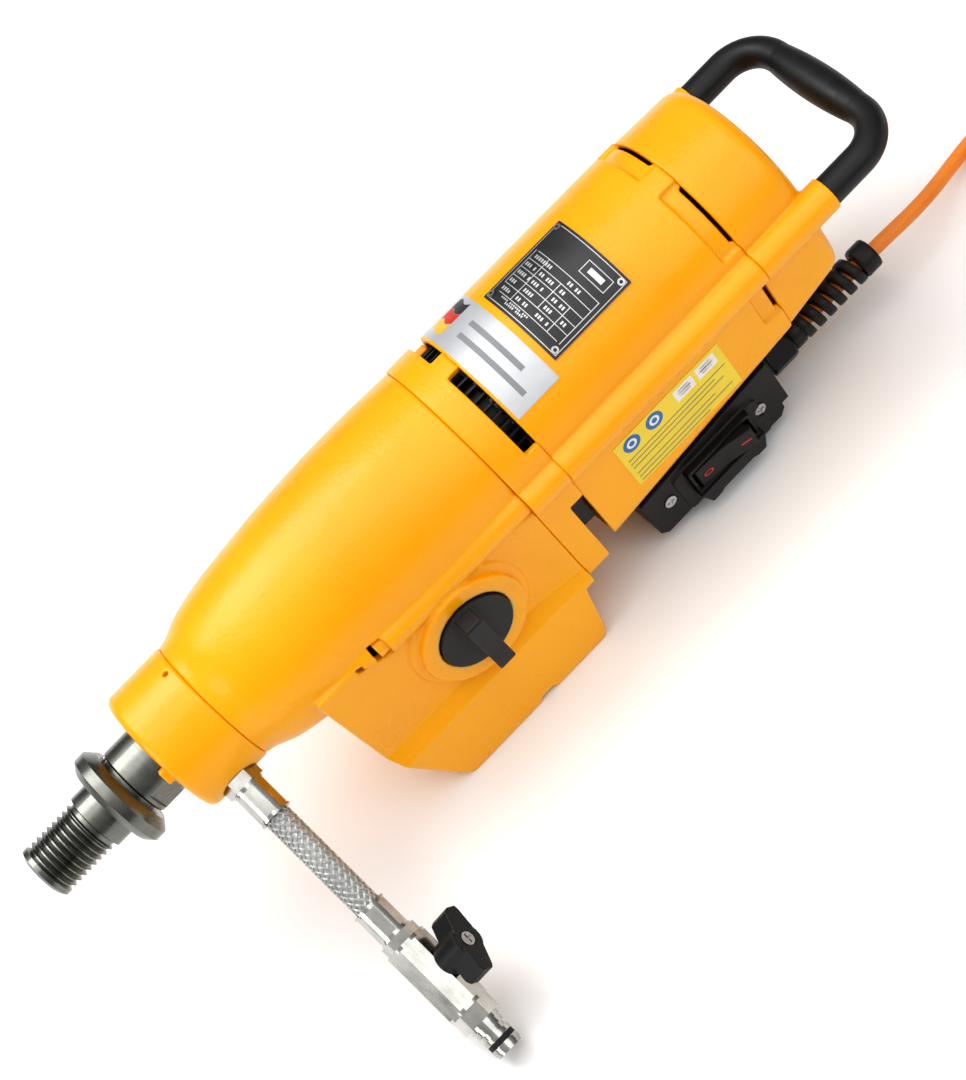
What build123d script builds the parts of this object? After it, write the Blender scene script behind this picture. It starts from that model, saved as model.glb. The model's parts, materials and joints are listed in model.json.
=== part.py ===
from build123d import *
import math
import os

# Drive unit of a core drilling rig. Millimetres. The unit lies on its mounting face, which is z = 0.
# X runs along the spindle, from the nose thread (-X) to the carrying handle (+X). The spindle axis is
# AXIS_Z above the mounting face. Places across the axis are given as s, to the switch side (-Y), and b,
# from the axis back to the mounting face (-Z).

# ---------------------------------------------------------------- driving dimensions
AXIS_Z = 126.0                      # spindle axis above the mounting face
SHELL_R = 54.0                      # half width of the housings
WALL = 4.5                          # casting wall
CLEAR = 0.05                        # radial clearance of running fits

TIP_X, THREAD_X, RELIEF_X = -245.8, -212.0, -208.0
RING_X0, RING_X1 = -196.5, -182.5   # release ring
NECK_X, COLLAR_X0, COLLAR_X1 = -180.5, -161.0, -122.0
FLANGE_X0, MOTOR_X0, CAP_X0, CAP_X1 = 59.0, 84.0, 225.0, 268.0
LEG_TOP_X = 277.0                   # handle bosses
HANDLE_X = 322.0                    # centre of the handle's grip bar

THREAD_R, THREAD_PITCH, THREAD_DEPTH = 15.875, 25.4 / 7, 1.9
RING_R, NECK_R, COLLAR_R, FLATS = 29.2, 21.0, 38.7, 36.0

LEG_S, LEG_B, LEG_R = 54.5, 3.0, 8.6
COLUMN_R, GEARBOX_COLUMN_R = 10.0, 8.0

KEYWAY_W, KEYWAY_DEPTH = 10.0, 3.0
MOUNT_X, MOUNT_Y, MOUNT_HOLE_R, MOUNT_HOLE_DEPTH = 30.0, 40.0, 4.25, 20.0
FOOT_S = 60.0                       # half width of the mounting block

SHAFT_DISTANCE = 42.0               # spindle to layshaft, back towards the mounting face
DRIVE_MODULE, DRIVE_TEETH = 1.2, (12, 58)
SPEED_MODULE, SPEED_TEETH = 1.5, ((10, 46), (15, 41), (20, 36))
GEAR_W, GEAR_STEP = 11.0, 13.0      # width of the speed gears and step between them
GEAR_X = (-61.0, -48.0, -35.0)      # front faces of low, middle and high gear
DRIVE_X0, DRIVE_X1 = 38.0, 49.0

KNOB_X, KNOB_B, KNOB_R, KNOB_FACE_S = -3.0, 38.6, 22.3, 62.0
CRANK_R = 15.0                      # throw of the selector's crank pin

HOSE_X, HOSE_ANGLE = -141.0, 30.8   # water feed: station, and fall below the side direction (degrees)

CABLE_R = 4.2
CABLE_S, CABLE_B = 28.0, 99.0       # gland axis
COIL_XY, COIL_R_MID = (440.0, -74.0), 54.0  # put-away coil of the mains lead
COIL_WIDE, COIL_HIGH = 4, 3          # turns side by side, and layers


# ---------------------------------------------------------------- helpers
def across(x, s=0.0, b=0.0):
    """Plane square to the spindle at station x: its own x is s, its own y is b, its normal is +X."""
    return Plane(origin=(x, -s, AXIS_Z - b), x_dir=(0, -1, 0), z_dir=(1, 0, 0))


def side(s, x=0.0, b=0.0):
    """Plane parallel to the side faces: its own x is +X, its own y is towards the front, normal -Y."""
    return Plane(origin=(x, -s, AXIS_Z - b), x_dir=(1, 0, 0), z_dir=(0, -1, 0))


def rod(x0, x1, r, s=0.0, b=0.0):
    return extrude(across(x0, s, b) * Circle(r), amount=x1 - x0)


def tube(x0, x1, r_out, r_in, s=0.0, b=0.0):
    return extrude(across(x0, s, b) * (Circle(r_out) - Circle(r_in)), amount=x1 - x0)


def turned(points, s=0.0, b=0.0):
    """Solid of revolution about an axis along X, from (x, radius) corners."""
    face = side(0, 0, b) * make_face(Polyline(*points, close=True))
    return Pos(0, -s, 0) * revolve(face, axis=Axis((0, 0, AXIS_Z - b), (1, 0, 0)))


def block(x0, x1, s0, s1, b0, b1):
    centre = ((x0 + x1) / 2, -(s0 + s1) / 2, AXIS_Z - (b0 + b1) / 2)
    return Pos(*centre) * Box(abs(x1 - x0), abs(s1 - s0), abs(b1 - b0))


def slab(x0, x1, points):
    """Prism along X from an (s, b) outline."""
    return extrude(across(x0) * make_face(Polyline(*points, close=True)), amount=x1 - x0)


def flank(s0, s1, points):
    """Prism across the unit from an (x, b) outline."""
    outline = [(x, -b) for x, b in points]
    return extrude(side(s0) * make_face(Polyline(*outline, close=True)), amount=s1 - s0)


def polar(r, degrees):
    """(s, b) at radius r and an angle from the front towards the switch side."""
    a = math.radians(degrees)
    return r * math.sin(a), -r * math.cos(a)


def sector(x0, x1, r0, r1, a0, a1):
    """Ring sector between two angles from the front."""
    steps = max(2, int(abs(a1 - a0) / 15) + 1)
    angles = [a0 + (a1 - a0) * i / steps for i in range(steps + 1)]
    reach = r1 / math.cos(math.radians((a1 - a0) / steps / 2)) + 1
    fan = slab(x0, x1, [(0, 0)] + [polar(reach, a) for a in angles])
    return fan & tube(x0, x1, r1, r0)


def bearing(x0, x1, r_in, r_out, s=0.0, b=0.0, balls=9):
    """Deep groove ball bearing: two rings with a ball race between them."""
    width, gap = x1 - x0, r_out - r_in
    pitch_r, ball_r = (r_in + r_out) / 2, min(0.3 * gap, 0.36 * width)
    race_r = ball_r + 0.04
    torus = Plane(origin=((x0 + x1) / 2, -s, AXIS_Z - b), z_dir=(1, 0, 0)) * Torus(pitch_r, race_r)
    rings = [tube(x0, x1, r_out, pitch_r + gap / 7, s, b), tube(x0, x1, pitch_r - gap / 7, r_in, s, b)]
    solids = [ring - torus for ring in rings]
    for i in range(balls):
        ds, db = polar(pitch_r, 360 * i / balls)
        solids.append(Pos((x0 + x1) / 2, -s - ds, AXIS_Z - b - db) * Sphere(ball_r))
    return solids


def gear(x0, x1, teeth, module, s, b, towards, tooth_there, backlash=0.16):
    """Spur gear with involute flanks. A tooth, or a gap, stands at the angle towards (from the front)."""
    pitch_r, pressure = teeth * module / 2, math.radians(20)
    base_r, root_r = pitch_r * math.cos(pressure), pitch_r - 1.25 * module
    tip_r = pitch_r + 0.85 * module
    half = math.pi / 2 / teeth - backlash / 2 / pitch_r
    involute = lambda r: math.tan(math.acos(min(1, base_r / r))) - math.acos(min(1, base_r / r))
    low_r = max(base_r, root_r + 0.05)
    profile = []
    for r in (low_r, (low_r + pitch_r) / 2, pitch_r, (pitch_r + tip_r) / 2, tip_r):
        profile.append((r, half + involute(pitch_r) - involute(r)))
    foot = (root_r, min(profile[0][1], math.pi / teeth * 0.98))
    flank_points = [foot] + profile
    first = math.radians(towards) + (0 if tooth_there else math.pi / teeth)
    points = []
    for i in range(teeth):
        middle = first + 2 * math.pi * i / teeth
        for r, a in flank_points:
            points.append(polar(r, math.degrees(middle - a)))
        for r, a in reversed(flank_points):
            points.append(polar(r, math.degrees(middle + a)))
    face = across(x0, s, b) * make_face(Polyline(*points, close=True))
    return extrude(face, amount=x1 - x0)


def save(name, *solids):
    """Write one sub-part: a single solid, or a group of separate solids."""
    flat = [piece for item in solids for piece in (item if isinstance(item, list) else [item])]
    bodies = [body for piece in flat for body in piece.solids()]
    shape = bodies[0] if len(bodies) == 1 else Compound(children=bodies)
    shape.label = name
    export_step(shape, f"parts/{name}.step")


# ---------------------------------------------------------------- castings
GEARBOX_SCREWS = [(sign * LEG_S * 0.93, LEG_B) for sign in (1, -1)]
FOOT_SCREWS = [(sign * 44.0, 76.0) for sign in (1, -1)]
HOUSING_BOLTS = GEARBOX_SCREWS
FORK_ROD, FORK_ROD_R = (30.0, 22.0), 4.0


def housing_outline(x, front_r, half, back, corner, inset=0.0):
    """Cross-section of the motor casing: round front, flat sides, flat back with round corners."""
    h, r, c = half - inset, front_r - inset, corner - inset / 2
    b = back - inset
    lines = [
        ThreePointArc((h, 0), (0, -r), (-h, 0)),
        Line((-h, 0), (-h, b - c)),
        TangentArc((-h, b - c), (-h + c, b), tangent=(0, 1)),
        Line((-h + c, b), (h - c, b)),
        TangentArc((h - c, b), (h, b - c), tangent=(1, 0)),
        Line((h, b - c), (h, 0)),
    ]
    return across(x) * make_face(Wire(lines))


def drafted(x0, x1, low, high, inset=0.0):
    """Casing between two stations, each given as (front radius, half width, back, corner)."""
    return loft([housing_outline(x0, *low, inset), housing_outline(x1, *high, inset)], ruled=True)


MOTOR_LOW, MOTOR_HIGH = (52.5, 54.5, 82.0, 12.0), (51.0, 54.0, 68.0, 12.0)
CAP_BANDS = (0, 22.5, 45, 67.5, 90)  # degrees round the cap's shoulder
CAP_LOW, CAP_HIGH = (50.2, 53.2, 67.0, 12.0), (48.8, 52.4, 61.0, 12.0)
FLANGE_SIZE = (52.5, 55.5, 87.0, 7.0)

FRONT_PROFILE = ((-122, 38.4), (-116, 39.6), (-108, 43.0), (-98, 45.8), (-88, 47.6), (-68, 49.9),
                 (-47, 51.8), (-26, 53.1), (-6, 53.8), (14, 54.0), (36, 53.5), (59, 52.5))
FOOT_PROFILE = ((59, -20), (59, 84), (52.5, 84), (46, 122), (42, AXIS_Z), (-57, AXIS_Z),
                (-61, 122.5), (-83.6, 71), (-86, 12), (-86, -20))


def front_shell(inset):
    """Barrel of the gearbox, as a smooth spline of revolution."""
    inner = [(x, r - inset) for x, r in FRONT_PROFILE]
    curve = Spline(*inner)
    edges = [curve, Line(inner[-1], (59, 0)), Line((59, 0), (-122, 0)), Line((-122, 0), inner[0])]
    face = side(0) * make_face(Wire(edges))
    return revolve(face, axis=Axis((0, 0, AXIS_Z), (1, 0, 0)))


def foot_block(inset):
    """Mounting block behind the barrel: narrower at the selector, flared to the mounting face."""
    waist, foot = 53.0 - inset, FOOT_S - inset
    half = [(waist, 0), (waist, 70), (foot, 79), (foot, AXIS_Z - inset * 1.6)]
    outline = half + [(-s, b) for s, b in reversed(half)]
    across_prism = slab(-90, FLANGE_X0, outline)
    if not inset:
        along = flank(-FOOT_S - 1, FOOT_S + 1, FOOT_PROFILE)
        return across_prism & along
    inner = [(60, -20), (60, 80), (47.5, 83), (40, AXIS_Z), (-53, AXIS_Z), (-56, 120),
             (-77.5, 69), (-80, 14), (-80, -20)]
    return across_prism & flank(-FOOT_S, FOOT_S, inner)


def make_gearbox_housing():
    body = front_shell(0) + foot_block(0)
    for sign in (1, -1):
        body += rod(-39, FLANGE_X0, GEARBOX_COLUMN_R, sign * LEG_S * 0.93, LEG_B)
        body += slab(-39, FLANGE_X0, [(sign * 36, -20), (sign * 50.5, -4), (sign * 53, 12), (sign * 36, 12)])
        flute = across(-39) * Pos(sign * LEG_S * 0.93, LEG_B) * Circle(GEARBOX_COLUMN_R)
        tail = across(-104) * Pos(sign * 38, 2) * Circle(3.5)
        body += loft([tail, flute], ruled=True)
        # side wall widening smoothly to the flange
        narrow = across(30) * Pos(sign * 52.0, 48) * Rectangle(2.2, 72)
        wide = across(FLANGE_X0) * Pos(sign * 53.2, 48) * Rectangle(4.6, 72)
        body += loft([narrow, wide], ruled=True)
    boss = side(50, KNOB_X, KNOB_B)
    body += extrude(boss * Circle(37), amount=5.5)
    body += extrude(boss * Circle(32.5), amount=10.5)
    for inner in (front_shell(WALL), foot_block(WALL)):
        body -= inner
    # seat of the front spindle bearing, and the wall that carries it
    body += tube(-121.5, -95, 40.5, 31.03) & front_shell(1)
    body += tube(-121.5, -114, 32, 21.5)
    for s, b in GEARBOX_SCREWS:
        body += rod(-39, FLANGE_X0, 6.5, s, b)
    for s, b in FOOT_SCREWS:
        body += rod(34, FLANGE_X0, 6.5, s, b) & foot_block(1)
    # seat of the layshaft's front bearing, carrier of the fork rod
    body += tube(-82, -69, 15.5, 11.03, 0, SHAFT_DISTANCE) - rod(-82, -79.5, 11.5, 0, SHAFT_DISTANCE)
    body += rod(-84, -79.5, 15.5, 0, SHAFT_DISTANCE)
    body -= rod(-79.5, -60, 11.03, 0, SHAFT_DISTANCE)
    body += block(-33, -26, 25.5, 50, 15.5, 30) - rod(-32, -25, FORK_ROD_R, *FORK_ROD)
    # bosses of the mounting holes, selector bush
    for x in (-MOUNT_X, MOUNT_X):
        for y in (-MOUNT_Y, MOUNT_Y):
            body += Pos(x, y, 12) * Cylinder(9.5, 22)
    body += extrude(side(46.5, KNOB_X, KNOB_B) * Circle(12), amount=8)
    for x in (-MOUNT_X, MOUNT_X):
        for y in (-MOUNT_Y, MOUNT_Y):
            body -= Pos(x, y, MOUNT_HOLE_DEPTH / 2) * Cylinder(MOUNT_HOLE_R, MOUNT_HOLE_DEPTH)
    body -= block(-KEYWAY_W / 2, KEYWAY_W / 2, -70, 70, AXIS_Z - KEYWAY_DEPTH, AXIS_Z + 1)
    body -= extrude(side(40, KNOB_X, KNOB_B) * Circle(6.0 + CLEAR), amount=30)
    body -= extrude(side(KNOB_FACE_S - 6, KNOB_X, KNOB_B) * Circle(KNOB_R + 0.3), amount=30)
    # screw holes of the flange joint, with their heads let into the columns' lower ends
    for s, b in GEARBOX_SCREWS:
        body -= rod(-60, FLANGE_X0 + 1, 3.1, s, b)
        body -= rod(-49, -39.5, 5.6, s, b)
    for s, b in FOOT_SCREWS:
        body -= rod(30, FLANGE_X0 + 1, 3.1, s, b)
    return body


def make_bearing_plate():
    """Web across the gearbox that carries the rear spindle bearing and both layshaft bearings' line."""
    body = rod(22, 33, 48.3) + slab(22, 33, [(-48, 0), (48, 0), (48, 78), (-48, 78)])
    body -= rod(20, 35, 26.03)
    body -= rod(20, 35, 15.03, 0, SHAFT_DISTANCE)
    body -= rod(20, 35, FORK_ROD_R + CLEAR, *FORK_ROD)
    for s, b in GEARBOX_SCREWS:
        body -= rod(20, 35, 6.7, s, b)
    return body


def make_intermediate_flange():
    body = drafted(FLANGE_X0, MOTOR_X0, FLANGE_SIZE, FLANGE_SIZE)
    for sign in (1, -1):
        body += rod(FLANGE_X0, MOTOR_X0, 9.0, sign * LEG_S, LEG_B)
    body -= drafted(FLANGE_X0 - 1, MOTOR_X0 + 1, FLANGE_SIZE, FLANGE_SIZE, WALL)
    floor = drafted(FLANGE_X0, FLANGE_X0 + 8, FLANGE_SIZE, FLANGE_SIZE, 1.0)
    floor -= rod(0, 100, 17.03)
    body += floor
    for sign in (1, -1):
        body += rod(FLANGE_X0 + 2, MOTOR_X0, 7.0, sign * (LEG_S - 4), LEG_B)
        a0, a1 = sorted((sign * 8, sign * 70))
        body -= sector(76, MOTOR_X0 + 1, 44, 60, a0, a1)
        body -= block(74.5, MOTOR_X0 + 1, sign * 45, sign * 66, 31, 100)
    body -= block(74.5, MOTOR_X0 + 1, -66, 66, 62, 100)
    for s, b in HOUSING_BOLTS:
        body -= rod(FLANGE_X0 - 1, MOTOR_X0 + 1, 3.1, s, b)
    for s, b in FOOT_SCREWS:
        body -= rod(FLANGE_X0 - 1, FLANGE_X0 + 9, 2.55, s, b)
    return body


def make_vent_grille():
    """Ribbed ring behind the flange's air slots, with walls that close them off at the sides and back."""
    body = tube(70, 74, 46.5, 38)
    body += tube(70, 83, 39.6, 38)
    for sign in (1, -1):
        for i in range(8):
            turn = Rot(sign * (13 + 7.6 * i), 0, 0)
            body += Pos(79, 0, AXIS_Z) * (turn * (Pos(0, 0, 42.6) * Box(12, 1.2, 7.4)))
        body += block(72, 83, sign * 44, sign * 47, 6, 61)
    body += block(72, 83, -47, 47, 58, 61)
    for sign in (1, -1):
        body -= rod(60, 90, 7.3, sign * (LEG_S - 4), LEG_B)
    return body


def make_motor_housing():
    body = drafted(MOTOR_X0, CAP_X0, MOTOR_LOW, MOTOR_HIGH)
    for sign in (1, -1):
        body += rod(MOTOR_X0, CAP_X0, COLUMN_R, sign * LEG_S, LEG_B)
    body -= drafted(MOTOR_X0 - 1, CAP_X0 + 1, MOTOR_LOW, MOTOR_HIGH, WALL)
    for sign in (1, -1):
        body += rod(MOTOR_X0, CAP_X0, 6.5, sign * HOUSING_BOLTS[0][0], LEG_B)
    # air pockets under the cap: three round the front, one in each side face
    pocket_floor = drafted(MOTOR_X0 - 1, CAP_X0 + 2, MOTOR_LOW, MOTOR_HIGH, 2.4)
    for a0, a1 in ((-76, -60), (-48, 7), (23, 76)):
        body -= sector(POCKET_X0, CAP_X0 + 1, 40, 60, a0, a1) - pocket_floor
        body -= sector(CAP_X0 - AIR_GAP, CAP_X0 + 1, 40, 60, a0 + 4, a1 - 4)
    for sign in (1, -1):
        body -= block(POCKET_X0, CAP_X0 + 1, sign * 51.8, sign * 60, 15, 44)
        body -= block(CAP_X0 - AIR_GAP, CAP_X0 + 1, sign * 40, sign * 60, 17, 42)
    # cable passage and screw holes of the switch box on the back
    body -= block(140, 160, -12, 12, 55, 90)
    for s, b in HOUSING_BOLTS:
        body -= rod(MOTOR_X0 - 1, CAP_X0 + 1, 3.1, s, b)
    for x, s in BOX_SCREWS:
        body -= Pos(x, -s, AXIS_Z - 74) * Cylinder(2.0, 30)
    for rivet in make_nameplate_rivets():
        body -= rivet
    return body


BOX_SCREWS = [(x, s) for x in (112.0, 190.0) for s in (-20.0, 36.0)]
POCKET_X0, AIR_GAP = 213.0, 2.0     # front of the air pockets, and the gap left under the cap


def make_end_cap():
    # sides with draft, then a shoulder rounded in three narrowing bands
    shell = drafted(CAP_X0, CAP_X1 - 9, CAP_LOW, CAP_HIGH)
    bands = [(CAP_X1 - 9 * (1 - math.sin(a)), 9 * (1 - math.cos(a))) for a in map(math.radians, CAP_BANDS)]
    for (x0, in0), (x1, in1) in zip(bands, bands[1:]):
        outlines = [housing_outline(x0, *CAP_HIGH, in0), housing_outline(x1, *CAP_HIGH, in1)]
        shell += loft(outlines, ruled=True)
    hollow = drafted(CAP_X0 - 1, CAP_X1 - 5, CAP_LOW, CAP_HIGH, WALL)
    for sign in (1, -1):
        shell += rod(CAP_X0, LEG_TOP_X, COLUMN_R, sign * LEG_S, LEG_B)
    shell -= hollow
    for sign in (1, -1):
        shell += rod(CAP_X0, LEG_TOP_X - 1, COLUMN_R, sign * LEG_S, LEG_B)
        shell -= rod(LEG_TOP_X - 16, LEG_TOP_X + 1, LEG_R + CLEAR, sign * LEG_S, LEG_B)
    # seat of the rear armature bearing
    shell += tube(246, CAP_X1 - 4, 20, 14.03)
    for s, b in HOUSING_BOLTS:
        shell -= rod(CAP_X0 - 1, CAP_X0 + 20, 2.55, s, b)
    return shell


def make_handle():
    """Carrying handle: one bent bar whose cross bar swells into a grip."""
    bend = 22.0
    foot_x = LEG_TOP_X - 15.5
    path = FilletPolyline((foot_x, -LEG_S), (HANDLE_X, -LEG_S), (HANDLE_X, LEG_S), (foot_x, LEG_S), radius=bend)
    lay = Plane(origin=(0, 0, AXIS_Z - LEG_B), x_dir=(1, 0, 0), z_dir=(0, 0, 1))
    bar = sweep(across(foot_x, LEG_S, LEG_B) * Circle(LEG_R), path=lay * path)
    start, rise = LEG_S - bend, 1.9
    swell = [(-start, 0), (-start, LEG_R - 0.3), (0, LEG_R + rise), (start, LEG_R - 0.3), (start, 0)]
    edges = [Line(swell[0], swell[1]), Spline(swell[1], swell[2], swell[3]), Line(swell[3], swell[4]),
             Line(swell[4], swell[0])]
    grip_plane = Plane(origin=(HANDLE_X, 0, AXIS_Z - LEG_B), x_dir=(0, 1, 0), z_dir=(0, 0, 1))
    grip = revolve(grip_plane * make_face(Wire(edges)), axis=Axis((HANDLE_X, 0, AXIS_Z - LEG_B), (0, 1, 0)))
    return bar + grip


# ---------------------------------------------------------------- water feed
def hose_plane(distance):
    """Plane square to the water feed, at a distance from the spindle axis; its own x is +X."""
    a = math.radians(HOSE_ANGLE)
    along = Vector(0, -math.cos(a), -math.sin(a))
    return Plane(origin=Vector(HOSE_X, 0, AXIS_Z) + along * distance, x_dir=(1, 0, 0), z_dir=along)


def feed(d0, d1, r_out, r_in=0.0):
    ring = Circle(r_out) - Circle(r_in) if r_in else Circle(r_out)
    return extrude(hose_plane(d0) * ring, amount=d1 - d0)


def hexed(d0, d1, flats, r_in, sides=6, turn=0.0):
    corner = flats / 2 / math.cos(math.pi / sides)
    outline = RegularPolygon(corner, sides, rotation=turn)
    return extrude(hose_plane(d0) * (outline - Circle(r_in) if r_in else outline), amount=d1 - d0)


COLLAR_OUT, FERRULE_1, HOSE_0, HOSE_1, FERRULE_2, VALVE_0, VALVE_1, NIPPLE_0, NIPPLE_1 = (
    38.0, 43.6, 64.8, 130.0, 150.4, 155.9, 201.5, 213.2, 230.2)
STEM_AT, VALVE_FLATS, KNOB_TURN = 177.6, 24.0, -19.0
STEM_LEAN = 36.87                   # stem direction, turned from +X towards the front (degrees)


def stem_plane(height):
    """Plane square to the valve stem, at a height over the valve's axis; its own x is along the hose."""
    a = math.radians(HOSE_ANGLE)
    along = Vector(0, -math.cos(a), -math.sin(a))
    lean = math.radians(STEM_LEAN)
    up = Vector(math.cos(lean), -math.sin(lean) * math.sin(a), math.sin(lean) * math.cos(a))
    origin = Vector(HOSE_X, 0, AXIS_Z) + along * STEM_AT + up * height
    return Plane(origin=origin, x_dir=along, z_dir=up)


def make_water_collar():
    profile = [(COLLAR_X0, 20.5), (COLLAR_X0, 35.2), (COLLAR_X0 + 1.0, 37.3), (COLLAR_X0 + 3.4, COLLAR_R),
               (COLLAR_X1 - 1.2, COLLAR_R), (COLLAR_X1, COLLAR_R - 1.0), (COLLAR_X1, 26.03),
               (COLLAR_X0 + 1.5, 26.03), (COLLAR_X0 + 1.5, 20.5)]
    body = turned(profile)
    body += sector(COLLAR_X0 - 4, COLLAR_X0 + 0.5, 24, 31, 52, 68)
    ds, db = polar(1, -3)
    weep = Plane(origin=(-127, 0, AXIS_Z), x_dir=(1, 0, 0), z_dir=(0, -ds, -db))
    body -= extrude(weep * Circle(1.6), amount=60)
    flat = extrude(hose_plane(36.5) * Circle(11.5), amount=10)
    return body - flat - feed(0, 60, 5.0)


def make_shaft_seals():
    return [tube(x, x + 6, 26.0, NECK_R - 1 + CLEAR) for x in (COLLAR_X0 + 2, COLLAR_X1 - 8)]


def make_hose_fittings():
    """Nipple screwed into the collar, and the nut that joins the hose to the valve."""
    nipple = hexed(36.5, FERRULE_1, 19.4, 3.5) + feed(28, 36.5, 4.98, 3.5)
    nut = hexed(FERRULE_2, VALVE_0, 19.0, 4.0)
    return [nipple, nut]


def ferrule(d0, d1):
    """Crimped sleeve: round lips at both ends, six pressed flats between them."""
    lip = 2.2
    body = feed(d0, d1, 9.0, 7.7)
    body &= hexed(d0 + lip, d1 - lip, 16.9, 0.0) + feed(d0, d0 + lip, 9.5) + feed(d1 - lip, d1, 9.5)
    return body + feed(d0, d0 + lip / 2, 9.6, 7.7) + feed(d1 - lip / 2, d1, 9.6, 7.7)


def make_hose_ferrules():
    return [ferrule(FERRULE_1, HOSE_0), ferrule(HOSE_1, FERRULE_2)]


def make_braided_hose():
    return feed(FERRULE_1, FERRULE_2, 7.65, 4.5)


def make_valve_body():
    core = hexed(VALVE_0, VALVE_1, VALVE_FLATS, 4.0, 8, STEM_LEAN - 22.5)
    for d0, d1 in ((VALVE_0, VALVE_0 + 2), (VALVE_1 - 2, VALVE_1)):
        core -= feed(d0, d1, 14, 12.3)
    core -= hose_plane(STEM_AT) * Sphere(8.4)
    core -= extrude(stem_plane(0) * Circle(4.5), amount=20)
    return core


def make_valve_ball():
    """Ball turned about its own water bore, with a flat milled under the stem."""
    ball_r, bore_r = 8.3, 4.0
    edge = math.sqrt(ball_r ** 2 - bore_r ** 2)
    rim = make_face(Wire([ThreePointArc((-edge, bore_r), (0, ball_r), (edge, bore_r)),
                          Line((edge, bore_r), (-edge, bore_r))]))
    ball = stem_plane(0) * (Rot(0, 0, KNOB_TURN) * revolve(rim, axis=Axis.X))
    return ball - extrude(stem_plane(6.5) * Rectangle(20, 20), amount=5)


def make_valve_knob():
    """Winged knob with its stem: two wings off a round hub, a screw recess in the top."""
    stem = extrude(stem_plane(6.6) * Circle(4.4), amount=8)
    hub = extrude(stem_plane(13.4) * Circle(9.2), amount=18.6)
    body = stem + hub
    for sign in (1, -1):
        root, tip = 4.0, 18.6
        wing = [(sign * root, -6.8), (sign * (tip - 2), -4.6), (sign * tip, -2.2), (sign * tip, 3.2),
                (sign * (tip - 2), 4.4), (sign * root, 6.8)]
        outline = Rot(0, 0, KNOB_TURN) * make_face(Polyline(*wing, close=True))
        body += extrude(stem_plane(19) * outline, amount=14)
    return body - extrude(stem_plane(29) * Circle(4.2), amount=10)


def make_knob_screw():
    head = extrude(stem_plane(29) * Circle(3.9), amount=3.2)
    return head - extrude(stem_plane(30.8) * Rectangle(5.4, 1.1), amount=3) \
        - extrude(stem_plane(30.8) * Rectangle(1.1, 5.4), amount=3)


def make_quick_nipple():
    body = hexed(VALVE_1, NIPPLE_0 - 2.5, 20.0, 3.6) + feed(NIPPLE_0 - 2.5, NIPPLE_0, 8.9, 3.6)
    for d0, d1, r in ((NIPPLE_0, 216.6, 8.2), (216.6, 219.6, 7.0), (219.6, 222.0, 8.2), (222.0, 225.6, 6.6),
                      (225.6, 228.6, 8.2), (228.6, NIPPLE_1, 7.6)):
        body += feed(d0, d1, r, 3.6)
    return body


def make_nipple_o_ring():
    return feed(222.3, 225.3, 8.0, 6.65)


# ---------------------------------------------------------------- spindle and gears
def make_spindle():
    crest, root = THREAD_R, THREAD_R - THREAD_DEPTH
    profile = [(TIP_X, 5.0), (TIP_X, root - 0.6), (TIP_X + 1.6, crest)]
    turns = int((THREAD_X - TIP_X - 3) / THREAD_PITCH)
    start = THREAD_X - turns * THREAD_PITCH
    for i in range(turns):
        x = start + i * THREAD_PITCH
        profile += [(x - 0.45, crest), (x + 1.0, root), (x + 1.75, root), (x + 3.18, crest)]
    profile += [(THREAD_X, crest), (THREAD_X + 0.8, 14.3), (RELIEF_X - 1, 14.3), (RELIEF_X, 17.0),
                (NECK_X - 0.1, 17.0), (NECK_X - 0.1, NECK_R - 1), (NECK_X + 1, NECK_R),
                (COLLAR_X0 - 0.5, NECK_R), (COLLAR_X0 - 0.5, NECK_R - 1), (-122.5, NECK_R - 1), (-122.5, 19),
                (-113, 19), (-113, 15), (-95, 15), (-95, 18), (-62, 18), (-62, 14),
                (21, 14), (21, 12.5), (35, 12.5), (35, 4.55), (-70.5, 4.55), (-70.5, 0), (-133, 0), (-133, 5.0)]
    body = turned(profile)
    for sign in (1, -1):
        flat = block(NECK_X + 3, COLLAR_X0 - 4, sign * FLATS / 2, sign * 30, -30, 30)
        body -= Pos(0, 0, AXIS_Z) * (Rot(12, 0, 0) * (Pos(0, 0, -AXIS_Z) * flat))
    body -= Pos(HOSE_X, 0, AXIS_Z) * (Rot(90, 0, 0) * Cylinder(3, 60))
    body -= block(-19.4, 13.4, -20, 20, -2.6, 2.6)      # slot of the shift sleeve's cross pin
    body -= block(-60.6, -24.4, -2.6, 2.6, -20, 0)      # slot of the draw key's nose
    return body


def make_release_ring():
    profile = [(RING_X0, 17.05), (RING_X0, 25.0), (RING_X0 + 3.0, RING_R - 0.6), (RING_X0 + 4.0, RING_R),
               (RING_X1 - 5.0, RING_R), (RING_X1 - 4.0, RING_R - 0.6), (RING_X1, 24.0), (RING_X1, 17.05)]
    return turned(profile)


def make_ring_pin():
    ds, db = polar(19.0, -52)
    return rod(RING_X1, NECK_X - 0.1, 1.2, ds, db)


def make_spindle_gear(i):
    small, large = SPEED_TEETH[i]
    x0 = GEAR_X[i]
    body = gear(x0, x0 + GEAR_W, large, SPEED_MODULE, 0, 0, 180, False)
    body -= rod(x0 - 1, x0 + 20, 14 + CLEAR)
    return body - block(x0 - 1, x0 + 20, -2.7, 2.7, -16.5, 0)


def make_layshaft():
    body = rod(-79, -70, 5.0, 0, SHAFT_DISTANCE) + rod(-70, -20, 5.5, 0, SHAFT_DISTANCE)
    body += rod(-20, 21.5, 8.5, 0, SHAFT_DISTANCE) + rod(21.5, 50, 8.0, 0, SHAFT_DISTANCE)
    for (small, large), x0 in zip(SPEED_TEETH, GEAR_X):
        body += gear(x0, x0 + GEAR_W, small, SPEED_MODULE, 0, SHAFT_DISTANCE, 0, True)
    return body


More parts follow.
